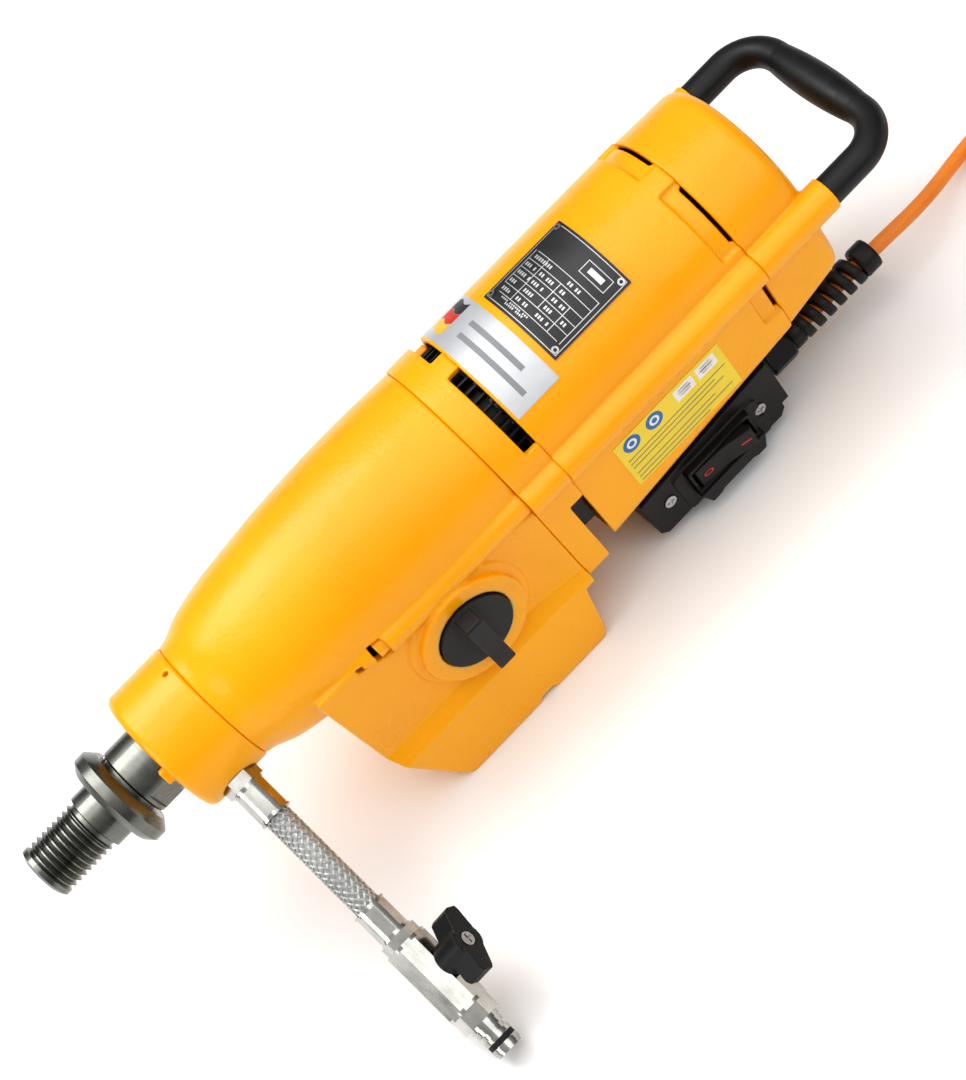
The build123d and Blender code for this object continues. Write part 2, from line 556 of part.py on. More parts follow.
def make_layshaft_gear():
    body = gear(DRIVE_X0, DRIVE_X1, DRIVE_TEETH[1], DRIVE_MODULE, 0, SHAFT_DISTANCE, 0, False)
    body -= tube(DRIVE_X0 - 1, DRIVE_X0 + 3, 29, 15, 0, SHAFT_DISTANCE)
    return body - rod(DRIVE_X0 - 1, DRIVE_X1 + 1, 8.01, 0, SHAFT_DISTANCE)


def make_shift_sleeve():
    profile = [(-9, 14.05), (-9, 20), (-8, 21), (-5.6, 21), (-5.6, 17), (-0.4, 17), (-0.4, 21), (2, 21),
               (3, 20), (3, 14.05)]
    cross_pin = Pos(-3, 0, AXIS_Z) * (Rot(90, 0, 0) * Cylinder(2.5, 33))
    return turned(profile) + cross_pin


def make_draw_key():
    body = rod(-56, 1, 4.5) + block(-46.5, -38.5, -2.4, 2.4, -13.6, 0)
    return body - Pos(-3, 0, AXIS_Z) * (Rot(90, 0, 0) * Cylinder(2.51, 33))


def make_fork_rod():
    return rod(-32, 33, FORK_ROD_R, *FORK_ROD)


def make_shift_fork():
    """Half ring in the sleeve's groove, an arm to the boss on the fork rod, a slot for the crank pin."""
    jaw = sector(-5.2, -0.8, 17.3, 25, 12, 168)
    arm = slab(-5.2, -0.8, [(21, -4), (30, 14), (38, 16), (38, 28), (24, 28), (19, 14)])
    arm -= rod(-6, 0, 17.3)
    boss = rod(-9, 3, 8, *FORK_ROD)
    slot_block = block(-10.8, 4.8, 30, 43.0, 16.5, 37.5)
    body = jaw + arm + boss + slot_block
    body -= block(-3 - 4.3, -3 + 4.3, 36, 44, 19.9, 35.0)
    return body - rod(-12, 6, FORK_ROD_R + CLEAR, *FORK_ROD)


def make_selector_knob():
    """Flush disc with a straight finger bar across it."""
    plane = side(KNOB_FACE_S - 5.7, KNOB_X, KNOB_B)
    disc = extrude(plane * Circle(KNOB_R - 0.2), amount=5.7)
    bar = extrude(side(KNOB_FACE_S - 1, KNOB_X, KNOB_B) * Rectangle(10.7, 42.0), amount=13.4)
    bar = chamfer(bar.edges().group_by(Axis.Y)[0], 0.8)
    socket = extrude(plane * Circle(6.0), amount=3)
    return disc + bar - socket


def make_selector_shaft():
    shaft = extrude(side(43.5, KNOB_X, KNOB_B) * Circle(6.0), amount=KNOB_FACE_S - 2.7 - 43.5)
    crank = extrude(side(43.5, KNOB_X, KNOB_B) * Circle(19), amount=2.7)
    pin = extrude(side(38.6, KNOB_X, KNOB_B - CRANK_R) * Circle(3), amount=5)
    return shaft + crank + pin


# ---------------------------------------------------------------- motor
def make_armature_shaft():
    body = rod(50, 252, 8.0) + rod(252, 262, 7.0)
    body += gear(DRIVE_X0, 50, DRIVE_TEETH[0], DRIVE_MODULE, 0, 0, 180, True)
    return body


def make_armature_core():
    body = tube(108, 178, 29.2, 8.01)
    for i in range(16):
        ds, db = polar(29.2, 22.5 * i)
        turn = Rot(22.5 * i, 0, 0)
        body -= Pos(143, 0, AXIS_Z) * (turn * (Pos(0, 0, 27.6) * Box(80, 1.8, 4)))
    return body


def make_armature_windings():
    ends = [turned([(x0, 9.5), (x0, 22), (x0 + 3, 26.5), (x1 - 3, 26.5), (x1, 22), (x1, 9.5)])
            for x0, x1 in ((95, 107.8), (178.2, 193))]
    return ends


def make_commutator():
    body = tube(196, 224, 19, 8.01)
    for i in range(24):
        turn = Rot(15 * i, 0, 0)
        body -= Pos(210, 0, AXIS_Z) * (turn * (Pos(0, 0, 18.8) * Box(24, 0.7, 2)))
    return body


def make_cooling_fan():
    body = tube(88.5, 90.5, 40, 12) + tube(87.5, 92.5, 13, 8.01)
    for i in range(15):
        turn = Rot(24 * i, 0, 0)
        body += Pos(89.1, 0, AXIS_Z) * (turn * (Pos(0, 0, 31) * Box(6.2, 1.4, 17)))
    return body


def make_stator_core():
    body = tube(108, 178, 43.8, 30.2)
    for sign in (1, -1):
        body -= block(107, 179, sign * 27, sign * 38.5, -15.5, 15.5)
    return body


def make_field_coils():
    coils = []
    for sign in (1, -1):
        coil = block(100, 186, sign * 30.5, sign * 38.0, -15, 15)
        coils.append(coil - block(108.5, 177.5, sign * 30, sign * 41, -6, 6))
    return coils


def make_brush_holders():
    """Two brass boxes over the commutator, on the front-back line."""
    holders = []
    for sign in (1, -1):
        outer = block(203, 217, -6, 6, sign * 20.5, sign * 41)
        holders.append(outer - block(205, 215, -4, 4, sign * 20, sign * 42))
    return holders


def make_carbon_brushes():
    pieces = []
    for sign in (1, -1):
        pieces.append(block(205.1, 214.9, -3.9, 3.9, sign * 19.2, sign * 33))
        pieces.append(Pos(210, 0, AXIS_Z - sign * 37) * Cylinder(3.0, 7.6))
    return pieces


def make_ball_bearings():
    lists = [bearing(-112, -96, 15 + CLEAR, 31.0, balls=10), bearing(22, 33, 12.5 + CLEAR, 26.0),
             bearing(22, 33, 8 + CLEAR, 15.0, 0, SHAFT_DISTANCE, balls=8),
             bearing(-79, -70, 5 + CLEAR, 11.0, 0, SHAFT_DISTANCE, balls=7),
             bearing(59, 67, 8 + CLEAR, 17.0, balls=8), bearing(253, 261, 7 + CLEAR, 14.0, balls=8)]
    return [solid for group in lists for solid in group]


def make_control_board():
    board = block(110, 190, -34, 34, 58, 59.6)
    for x, s, size, tall in ((125, -18, 18, 10), (150, 16, 22, 7), (175, -12, 14, 9)):
        board += block(x - size / 2, x + size / 2, s - size / 2, s + size / 2, 59.5 - tall, 58.1)
    for s in (-34, 34):
        board += block(120, 180, s - math.copysign(4, s), s, 59.4, 62)
    return board


# ---------------------------------------------------------------- plates and labels
def skin(thickness):
    """Thin layer over the outside of the motor casing."""
    outer = drafted(MOTOR_X0, CAP_X0, MOTOR_LOW, MOTOR_HIGH, -thickness)
    return outer - drafted(MOTOR_X0, CAP_X0, MOTOR_LOW, MOTOR_HIGH)


NAMEPLATE_X, NAMEPLATE_A = (119.0, 173.0), (-15.0, 45.0)
LABEL_X, LABEL_A = (85.5, 114.5), (-40.0, 53.0)
STICKER_X, STICKER_B = (110.0, 186.0), (24.0, 61.0)


def make_nameplate():
    plate = skin(0.8) & sector(*NAMEPLATE_X, 40, 60, *NAMEPLATE_A)
    for rivet in make_nameplate_rivets():
        plate -= rivet
    return plate


def make_nameplate_rivets():
    """Dome-headed rivets in the plate's four corners."""
    rivets = []
    for x in (NAMEPLATE_X[0] + 3.5, NAMEPLATE_X[1] - 3.5):
        for a in (NAMEPLATE_A[0] + 4, NAMEPLATE_A[1] - 4):
            ds, db = polar(1, a)
            seat = 53.1 - 1.2 * (x - NAMEPLATE_X[0]) / 90
            out = Plane(origin=(x, -ds * seat, AXIS_Z - db * seat), x_dir=(1, 0, 0), z_dir=(0, -ds, -db))
            rivets.append(extrude(out * Circle(1.3), amount=-4) + extrude(out * Circle(2.0), amount=1.0))
    return rivets


def make_rating_label():
    return skin(0.3) & sector(*LABEL_X, 40, 60, *LABEL_A)


def make_safety_label():
    return skin(0.3) & block(*STICKER_X, 40, 60, *STICKER_B)


# ---------------------------------------------------------------- fasteners
def screw(x0, x1, r, s, b, head_r, head_h, hex_r):
    """Socket head screw along +X with its head at the x0 end."""
    body = rod(x0 - head_h, x0, head_r, s, b) + rod(x0, x1, r, s, b)
    socket = extrude(across(x0 - head_h - 1, s, b) * RegularPolygon(hex_r, 6), amount=head_h * 0.6 + 1)
    return body - socket


def make_gearbox_screws():
    """Two long screws through the gearbox columns, two short ones at the mounting block."""
    long_ones = [screw(-39.5, FLANGE_X0 + 1, 3.0, s, b, 5.2, 6.0, 2.9) for s, b in GEARBOX_SCREWS]
    return long_ones + [rod(34.5, FLANGE_X0 + 8, 2.5, s, b) for s, b in FOOT_SCREWS]


def make_housing_bolts():
    return [rod(FLANGE_X0 + 2, CAP_X0 + 19, 2.5, s, b) for s, b in HOUSING_BOLTS]


# ---------------------------------------------------------------- switch box and lead
BOX_X0, BOX_X1, BOX_TOP_X = 103.0, 198.0, 203.0
BOX_S0, BOX_S1, COVER_S = -30.0, 45.5, 48.5
BOX_B = 117.0
ROCKER_X, ROCKER_B, ROCKER_S = 155.2, 96.0, 54.0


def back_at(x):
    """Back face of the motor casing at station x."""
    low, high = MOTOR_LOW[2], MOTOR_HIGH[2]
    return low + (high - low) * (x - MOTOR_X0) / (CAP_X0 - MOTOR_X0)


def box_profile(margin=0.0, lid=0.0):
    m = margin
    return [(BOX_X0 + m, back_at(BOX_X0 + m) + lid), (BOX_TOP_X - m, back_at(BOX_TOP_X - m) + lid),
            (BOX_TOP_X - m, 109 - m), (BOX_X1 - m, 109 - m), (BOX_X1 - m, BOX_B - 4), (BOX_X1 - 4, BOX_B - m),
            (BOX_X0 + 4, BOX_B - m), (BOX_X0 + m, BOX_B - 4)]


def make_switch_box():
    body = flank(BOX_S0, BOX_S1, box_profile())
    body -= flank(BOX_S0 + 3, BOX_S1 + 1, box_profile(3.0, 3.0))
    for x, s in BOX_SCREWS:
        body -= Pos(x, -s, AXIS_Z - 80) * Cylinder(2.2, 16)
    body -= block(140, 160, -12, 12, 55, 90)
    body -= rod(199, 206, 7.03, CABLE_S, CABLE_B)
    for x, b in COVER_SCREWS:
        post = extrude(side(BOX_S0 + 1, x, b) * Circle(4), amount=BOX_S1 - BOX_S0 - 1)
        body += post
        body -= extrude(side(BOX_S1 - 20, x, b) * Circle(1.7), amount=22)
    return body


COVER_SCREWS = ((117.6, 98.0), (186.0, 98.0))


def make_switch_cover():
    plate = flank(BOX_S1, COVER_S, box_profile(0.0, 4.0))
    plate -= extrude(side(BOX_S1 - 1, ROCKER_X, ROCKER_B) * Rectangle(42, 17), amount=8)
    plate += extrude(side(COVER_S - 0.5, ROCKER_X, 101) * RectangleRounded(62, 30, 3), amount=2.3) \
        - extrude(side(COVER_S - 1, ROCKER_X, ROCKER_B) * Rectangle(46, 19.5), amount=8)
    for x, b in COVER_SCREWS:
        plate -= extrude(side(BOX_S1 - 1, x, b) * Circle(1.7), amount=8)
        plate -= extrude(side(COVER_S - 1.0, x, b) * Circle(3.8), amount=8)
    return plate


def make_switch_screws():
    screws = []
    for x, b in COVER_SCREWS:
        head = extrude(side(COVER_S - 1.0, x, b) * Circle(3.7), amount=1.8)
        shank = extrude(side(BOX_S1 - 14, x, b) * Circle(1.65), amount=COVER_S - 1.0 - BOX_S1 + 14)
        cross = extrude(side(COVER_S, x, b) * (Rectangle(4.6, 0.9) + Rectangle(0.9, 4.6)), amount=3)
        screws.append(head + shank - cross)
    return screws


def make_rocker_frame():
    """Switch module: body behind the cover, bezel round the rocker, guard wall on the outer side."""
    bezel = extrude(side(COVER_S, ROCKER_X, ROCKER_B) * RectangleRounded(45.6, 19.2, 2), amount=5.5)
    bezel += extrude(side(BOX_S1 - 22, ROCKER_X, ROCKER_B) * Rectangle(41.6, 16.6), amount=COVER_S - BOX_S1 + 22)
    guard = [(131, 105), (135, 115.2), (141, 115.2), (144, 113.6), (166.4, 113.6), (169.4, 115.2),
             (175.4, 115.2), (179.4, 105)]
    bezel += flank(COVER_S + 1.9, 57.0, guard)
    bezel -= extrude(side(ROCKER_S - 9, ROCKER_X, ROCKER_B) * Rectangle(42, 15.2), amount=20)
    axle = Pos(ROCKER_X, -(ROCKER_S - 2), AXIS_Z - ROCKER_B) * Cylinder(1.5, 15.4)
    return bezel + axle


ROCKER_REST, ROCKER_SWING = -8.5, 17.0


def make_rocker_switch():
    """Rocker with a shallow V top; at rest its -X end is pressed in."""
    outline = [(-19.6, 1.8), (-18.4, 5.4), (0, 3.6), (18.4, 5.4), (19.6, 1.8), (16, -1.5), (5, -5.6), (-5, -5.6),
               (-16, -1.5)]
    lying = Plane(origin=(ROCKER_X, -(ROCKER_S - 2), AXIS_Z - ROCKER_B + 7.2), x_dir=(1, 0, 0), z_dir=(0, 0, -1))
    body = extrude(lying * (Rot(0, 0, -ROCKER_REST) * make_face(Polyline(*outline, close=True))), amount=14.4)
    return body - Pos(ROCKER_X, -(ROCKER_S - 2), AXIS_Z - ROCKER_B) * Cylinder(1.5 + CLEAR, 20)


GLAND_X0, NUT_X0, NUT_X1, RELIEF_X0, RELIEF_X1 = 200.0, 207.5, 224.8, 225.0, 291.0


def make_cable_gland():
    body = rod(GLAND_X0, BOX_TOP_X, 7.0, CABLE_S, CABLE_B) + rod(BOX_TOP_X, NUT_X0, 8.9, CABLE_S, CABLE_B)
    body -= rod(GLAND_X0 - 1, NUT_X0 + 1, CABLE_R + 0.1, CABLE_S, CABLE_B)
    nut = extrude(across(NUT_X0, CABLE_S, CABLE_B) * RegularPolygon(11.6, 6), amount=NUT_X1 - NUT_X0)
    nut &= turned([(NUT_X0, 0), (NUT_X0, 10.6), (NUT_X0 + 1.2, 12), (NUT_X1 - 3, 12), (NUT_X1, 9.6), (NUT_X1, 0)],
                  CABLE_S, CABLE_B)
    nut -= rod(NUT_X0 - 1, NUT_X1 + 1, CABLE_R + 0.1, CABLE_S, CABLE_B)
    return [body, nut]


def make_strain_relief():
    """Bend relief: collar, six separate-looking turns on a thin sleeve, and an end ring."""
    body = rod(RELIEF_X0, RELIEF_X1, 6.4, CABLE_S, CABLE_B)
    body += rod(RELIEF_X0, RELIEF_X0 + 9, 8.9, CABLE_S, CABLE_B)
    body += rod(RELIEF_X1 - 12, RELIEF_X1, 9.4, CABLE_S, CABLE_B)
    for i in range(5):
        body += rod(RELIEF_X0 + 13 + 8.3 * i, RELIEF_X0 + 17.2 + 8.3 * i, 9.2, CABLE_S, CABLE_B)
    body -= rod(RELIEF_X1 - 32, RELIEF_X1 + 1, CABLE_R + 1.3, CABLE_S, CABLE_B)
    return body - rod(RELIEF_X0 - 1, RELIEF_X1 + 1, CABLE_R + 0.15, CABLE_S, CABLE_B)


COIL_X, COIL_Y = COIL_XY
OUTER_TURN_R = COIL_R_MID + (COIL_WIDE - 1) * CABLE_R
FLOOR_Z = CABLE_R + 0.2
EXIT = (226.0, -CABLE_S, AXIS_Z - CABLE_B)
STUB = 36.0                         # straight ends by which the lead joins the coil
STUB_IN = (COIL_X - STUB, COIL_Y + OUTER_TURN_R, FLOOR_Z)
STUB_OUT = (COIL_X + OUTER_TURN_R, COIL_Y - STUB, FLOOR_Z)
LEAD = [EXIT, (290, -28, 27), (331, -25.5, 20), (368, -11.5, 7.6), (388, -7.4, 4.6), STUB_IN]
TAIL = [STUB_OUT, (506.8, -124, 4.6), (507.4, -140, 8.4), (508, -156, 14.8), (508, -170, 18.7), (508, -182, 19.0)]
PLUG_XYZ, PLUG_LENGTH = (508.0, -177.0, 19.0), 40.0


def cord_tube(route):
    """Round cord along straight runs joined by arcs as large as the runs allow."""
    points = [Vector(*p) for p in route]
    runs = [(b - a) for a, b in zip(points, points[1:])]
    radii = []
    for a, b in zip(runs, runs[1:]):
        half_turn = math.radians(a.get_angle(b)) / 2
        radii.append(0.45 * min(a.length, b.length) / math.tan(half_turn))
    print("cord radii", [round(r) for r in radii])
    path = FilletPolyline(*points, radius=radii)
    start = Plane(origin=points[0], z_dir=runs[0].normalized())
    body = sweep(start * Circle(CABLE_R), path=path)
    ratio = body.volume / (math.pi * CABLE_R ** 2 * path.length)
    print("cord length", round(path.length, 1), "volume over section times length", round(ratio, 4))
    return body


def make_mains_cable():
    return [cord_tube(LEAD), cord_tube(TAIL)]


def make_cable_coil():
    """Outer shape of the put-away coil, with the two straight ends that leave it."""
    half = COIL_WIDE * CABLE_R + 0.3
    tall = 2 * CABLE_R * (1 + (COIL_HIGH - 1) * 0.87)
    ring = Cylinder(COIL_R_MID + half, tall) - Cylinder(COIL_R_MID - half, tall + 2)
    body = Pos(COIL_X, COIL_Y, tall / 2 + 0.05) * ring
    into = Plane(origin=STUB_IN, z_dir=(1, 0, 0)) * Circle(CABLE_R)
    out = Plane(origin=STUB_OUT, z_dir=(0, 1, 0)) * Circle(CABLE_R)
    body += extrude(into, amount=STUB) + extrude(out, amount=STUB)
    return body


def make_mains_plug():
    """Two-pin earthed plug: round body with a waisted neck, and its two contact pins."""
    x, y, z = PLUG_XYZ
    profile = [(4.3, 0), (7.0, 0), (8.5, 8), (16.5, 18), (18.5, 26), (18.5, PLUG_LENGTH), (4.3, PLUG_LENGTH)]
    lying = Plane(origin=(x, y, z), x_dir=(1, 0, 0), z_dir=(0, 0, 1))
    face = lying * make_face(Polyline(*[(r, -d) for r, d in profile], close=True))
    body = revolve(face, axis=Axis((x, y, z), (0, 1, 0)))
    body += Pos(x, y - 23, z) * (Rot(90, 0, 0) * Cylinder(6, 34))
    bore = Pos(x, y - 2, z) * (Rot(90, 0, 0) * Cylinder(4.3, 6.2))
    pins = [Pos(x + dx, y - PLUG_LENGTH - 9.5, z) * (Rot(90, 0, 0) * Cylinder(2.4, 19)) for dx in (-9.5, 9.5)]
    return [body - bore] + pins


# ---------------------------------------------------------------- write every sub-part
PARTS = {
    "gearbox_housing": make_gearbox_housing, "bearing_plate": make_bearing_plate,
    "intermediate_flange": make_intermediate_flange, "vent_grille": make_vent_grille,
    "motor_housing": make_motor_housing, "end_cap": make_end_cap, "carrying_handle": make_handle,
    "water_collar": make_water_collar, "shaft_seals": make_shaft_seals,
    "hose_fittings": make_hose_fittings, "hose_ferrules": make_hose_ferrules,
    "braided_hose": make_braided_hose, "valve_body": make_valve_body, "valve_ball": make_valve_ball,
    "valve_knob": make_valve_knob, "knob_screw": make_knob_screw, "quick_nipple": make_quick_nipple,
    "nipple_o_ring": make_nipple_o_ring, "spindle": make_spindle, "release_ring": make_release_ring,
    "ring_pin": make_ring_pin, "layshaft": make_layshaft, "layshaft_gear": make_layshaft_gear,
    "shift_sleeve": make_shift_sleeve, "draw_key": make_draw_key, "fork_rod": make_fork_rod,
    "shift_fork": make_shift_fork, "selector_knob": make_selector_knob,
    "selector_shaft": make_selector_shaft, "armature_shaft": make_armature_shaft,
    "armature_core": make_armature_core, "armature_windings": make_armature_windings,
    "commutator": make_commutator, "cooling_fan": make_cooling_fan, "stator_core": make_stator_core,
    "field_coils": make_field_coils, "brush_holders": make_brush_holders,
    "carbon_brushes": make_carbon_brushes, "ball_bearings": make_ball_bearings,
    "control_board": make_control_board, "nameplate": make_nameplate,
    "nameplate_rivets": make_nameplate_rivets, "rating_label": make_rating_label,
    "safety_label": make_safety_label, "gearbox_screws": make_gearbox_screws,
    "housing_bolts": make_housing_bolts, "switch_box": make_switch_box,
    "switch_cover": make_switch_cover, "switch_screws": make_switch_screws,
    "rocker_frame": make_rocker_frame, "rocker_switch": make_rocker_switch,
    "cable_gland": make_cable_gland, "strain_relief": make_strain_relief,
    "mains_cable": make_mains_cable, "cable_coil": make_cable_coil, "mains_plug": make_mains_plug,
}
SPEED_NAMES = ("low_gear", "middle_gear", "high_gear")


def main():
    os.makedirs("parts", exist_ok=True)
    for name, make in PARTS.items():
        save(name, make())
    for i, name in enumerate(SPEED_NAMES):
        save(name, make_spindle_gear(i))


main()
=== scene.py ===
"""Looks of the core drill drive unit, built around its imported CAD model. Lengths are metres; MM is one mm."""
import json
import math

import bmesh
import bpy
from mathutils import Matrix, Vector
from mathutils.bvhtree import BVHTree

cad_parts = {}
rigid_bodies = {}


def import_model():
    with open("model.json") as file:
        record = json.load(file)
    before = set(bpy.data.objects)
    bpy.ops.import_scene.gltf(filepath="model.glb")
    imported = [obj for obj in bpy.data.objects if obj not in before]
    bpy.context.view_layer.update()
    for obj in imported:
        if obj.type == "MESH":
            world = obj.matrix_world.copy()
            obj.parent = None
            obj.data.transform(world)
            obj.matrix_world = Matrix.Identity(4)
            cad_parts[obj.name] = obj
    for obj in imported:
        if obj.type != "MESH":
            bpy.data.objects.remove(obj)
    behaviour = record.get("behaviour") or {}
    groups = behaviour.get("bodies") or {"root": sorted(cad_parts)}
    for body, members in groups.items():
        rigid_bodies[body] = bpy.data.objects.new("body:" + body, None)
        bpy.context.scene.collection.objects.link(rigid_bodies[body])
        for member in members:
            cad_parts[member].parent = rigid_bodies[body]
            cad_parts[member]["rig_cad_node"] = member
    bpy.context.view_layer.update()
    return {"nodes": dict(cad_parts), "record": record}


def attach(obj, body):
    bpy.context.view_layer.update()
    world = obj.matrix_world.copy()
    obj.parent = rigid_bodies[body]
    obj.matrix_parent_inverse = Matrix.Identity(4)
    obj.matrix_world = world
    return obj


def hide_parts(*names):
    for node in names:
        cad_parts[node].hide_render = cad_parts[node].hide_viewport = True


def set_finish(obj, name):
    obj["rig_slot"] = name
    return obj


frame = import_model()
NODES = frame["nodes"]
RECORD = frame["record"]
BODY_OF = {node: body for body, nodes in RECORD["behaviour"]["bodies"].items() for node in nodes}
SLOT_OF = {part["node"]: part["material_slot"] for part in RECORD["subparts"]}
MM = 0.001
AXIS_Z = 0.126                      # spindle axis above the mounting face

# ---------------------------------------------------------------- camera
VIEW_TILT = math.radians(40.3)      # camera leans from straight above towards the switch side
VIEW_ROLL = math.radians(45.9)      # spindle axis above the picture's horizontal
FOCUS = Vector((-0.0077, 0, AXIS_Z))
away = Vector((0, -math.sin(VIEW_TILT), math.cos(VIEW_TILT)))
eye = FOCUS + away * 1.331
aim = FOCUS + Vector((0.040, -0.042 * math.cos(VIEW_TILT), -0.042 * math.sin(VIEW_TILT)))
forward = (aim - eye).normalized()
along_x = (Vector((1, 0, 0)) - forward * forward.x).normalized()
right = Matrix.Rotation(-VIEW_ROLL, 3, -forward) @ along_x
up = Matrix.Rotation(math.pi / 2 - VIEW_ROLL, 3, -forward) @ along_x
camera = bpy.data.objects.new("camera", bpy.data.cameras.new("camera"))
camera.data.lens, camera.data.sensor_width = 86.7, 36.0
camera.data.clip_start, camera.data.clip_end = 0.05, 50.0
camera.matrix_world = Matrix((right, up, -forward)).transposed().to_4x4()
camera.location = eye
bpy.context.scene.collection.objects.link(camera)
bpy.context.scene.camera = camera


# ---------------------------------------------------------------- mesh helpers
def add_object(name, mesh, body, slot_name, replaced=()):
    obj = bpy.data.objects.new(name, mesh)
    bpy.context.scene.collection.objects.link(obj)
    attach(obj, body)
    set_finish(obj, slot_name)
    if replaced:
        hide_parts(*replaced)
    return obj


def mesh_of(name, verts, faces, smooth=True):
    mesh = bpy.data.meshes.new(name)
    mesh.from_pydata([tuple(v) for v in verts], [], faces)
    bm = bmesh.new()
    bm.from_mesh(mesh)
    bmesh.ops.recalc_face_normals(bm, faces=bm.faces)
    bm.to_mesh(mesh)
    bm.free()
    for face in mesh.polygons:
        face.use_smooth = smooth
    return mesh


class Build:
    """Collects the vertices and faces of one piece."""

    def __init__(self):
        self.verts, self.faces = [], []

    def rings(self, rings, closed=False, capped=True):
        """Skin over rings of equally many points."""
        first, count = len(self.verts), len(rings[0])
        for ring in rings:
            self.verts += [Vector(p) for p in ring]
        steps = len(rings) if closed else len(rings) - 1
        for i in range(steps):
            a, b = first + i * count, first + (i + 1) % len(rings) * count
            for j in range(count):
                k = (j + 1) % count
                self.faces.append((a + j, a + k, b + k, b + j))
        if capped and not closed:
            last = first + (len(rings) - 1) * count
            self.faces.append(tuple(range(first + count - 1, first - 1, -1)))
            self.faces.append(tuple(range(last, last + count)))

    def lathe(self, origin, axis, profile, steps=48, closed=False):
        """Turned shape: profile is (distance along the axis, radius), closed for a ring's section."""
        origin, axis = Vector(origin), Vector(axis).normalized()
        u, v = frame_across(axis)
        rings = []
        for along, r in profile:
            rings.append([origin + axis * along + (u * math.cos(a) + v * math.sin(a)) * r
                          for a in (2 * math.pi * i / steps for i in range(steps))])
        self.rings(rings, closed=closed)

    def tube(self, points, r, sides=6):
        """Round tube along points, with a frame carried along so that it doesn't twist."""
        points = [Vector(p) for p in points]
        tangents = [(points[min(i + 1, len(points) - 1)] - points[max(i - 1, 0)]).normalized()
                    for i in range(len(points))]
        u, _ = frame_across(tangents[0])
        rings = []
        for p, t in zip(points, tangents):
            u = (u - t * u.dot(t)).normalized()
            v = t.cross(u)
            rings.append([p + (u * math.cos(a) + v * math.sin(a)) * r
                          for a in (2 * math.pi * i / sides for i in range(sides))])
        self.rings(rings)

    def mesh(self, name, smooth=True):
        return mesh_of(name, self.verts, self.faces, smooth)


def frame_across(axis):
    helper = Vector((0, 0, 1)) if abs(axis.z) < 0.9 else Vector((1, 0, 0))
    u = axis.cross(helper).normalized()
    return u, axis.cross(u).normalized()


def baked(obj):
    """Applies an object's modifiers to its mesh."""
    graph = bpy.context.evaluated_depsgraph_get()
    made = bpy.data.meshes.new_from_object(obj.evaluated_get(graph))
    obj.modifiers.clear()
    obj.data = made
    return obj


def sharpened(obj, degrees=35.0):
    """Smooth shading that keeps edges sharper than the angle."""
    for face in obj.data.polygons:
        face.use_smooth = True
    obj.data.set_sharp_from_angle(angle=math.radians(degrees))
    return obj


# ---------------------------------------------------------------- mains lead
CABLE_D = 8.4 * MM
COIL_X, COIL_Y = 0.440, -0.074
FLOOR_Z = 4.4 * MM
CABLE_EXIT = (0.226, -0.028, 0.027)
LEAD = [CABLE_EXIT, (0.290, -0.028, 0.027), (0.331, -0.0255, 0.020), (0.368, -0.0115, 0.0076),
        (0.388, -0.0074, 0.0046), (0.404, -0.0072, 0.0044)]
TAIL = [(0.5066, -0.094, 0.0262), (0.5068, -0.110, 0.0190), (0.5070, -0.126, 0.0128),
        (0.5074, -0.142, 0.0108), (0.5078, -0.157, 0.0140), (0.508, -0.170, 0.0182), (0.508, -0.183, 0.0190)]
LAYER = 8.5 * MM
# each full turn lies in one place of the stack: (radius, layer), wound inwards, outwards, then up
PLACES = [(66.6, 0), (58.1, 0), (49.6, 0), (41.1, 0), (45.4, 1), (53.9, 1), (62.4, 1), (58.1, 2), (49.6, 2),
          (53.9, 3)]
# where along a turn, in degrees, it shifts to its next place: by its layer and the next turn's layer
SHIFTS = {0: {0: (300, 360), 1: (250, 300)},
          1: {1: (240, 300), 2: (200, 250)},
          2: {2: (145, 205), 3: (85, 145)}}
SETTLES = {1: (300, 360), 2: (245, 300), 3: (140, 200)}
STEPS_PER_TURN = 20
POINT_RADIUS = 0.0042               # thickness factor of the curve's points


def eased(t, start, end):
    t = min(1.0, max(0.0, (t - start) / (end - start)))
    return t * t * (3 - 2 * t)


def coil_place(turn, degrees):
    """(radius in mm, height in layers) in a turn at an angle clockwise from where the lead comes in."""
    radius, layer = PLACES[turn]
    if turn + 1 == len(PLACES):
        return radius, layer
    next_radius, next_layer = PLACES[turn + 1]
    start, end = SHIFTS[layer][next_layer]
    if next_layer == layer:
        return radius + (next_radius - radius) * eased(degrees, start, end), layer
    height = layer + (next_layer - layer) * eased(degrees, start, end)
    return radius + (next_radius - radius) * eased(degrees, *SETTLES[next_layer]), height


def coil_points():
    swell = 1 / math.cos(math.pi / STEPS_PER_TURN)
    points = []
    for turn in range(len(PLACES)):
        for i in range(STEPS_PER_TURN):
            degrees = 360.0 * i / STEPS_PER_TURN
            radius, height = coil_place(turn, degrees)
            points.append((degrees, radius * swell, height))
    # the last quarter widens to leave the stack over the outer turns
    for i in range(STEPS_PER_TURN // 4 + 1):
        degrees = 360.0 * i / STEPS_PER_TURN
        radius = 53.9 + 12.7 * eased(degrees, 0, 90)
        points.append((degrees, radius * swell, 3 - 0.12 * eased(degrees, 30, 90)))
    return [(COIL_X + r * MM * math.sin(math.radians(a)), COIL_Y + r * MM * math.cos(math.radians(a)),
             FLOOR_Z + h * LAYER) for a, r, h in points]


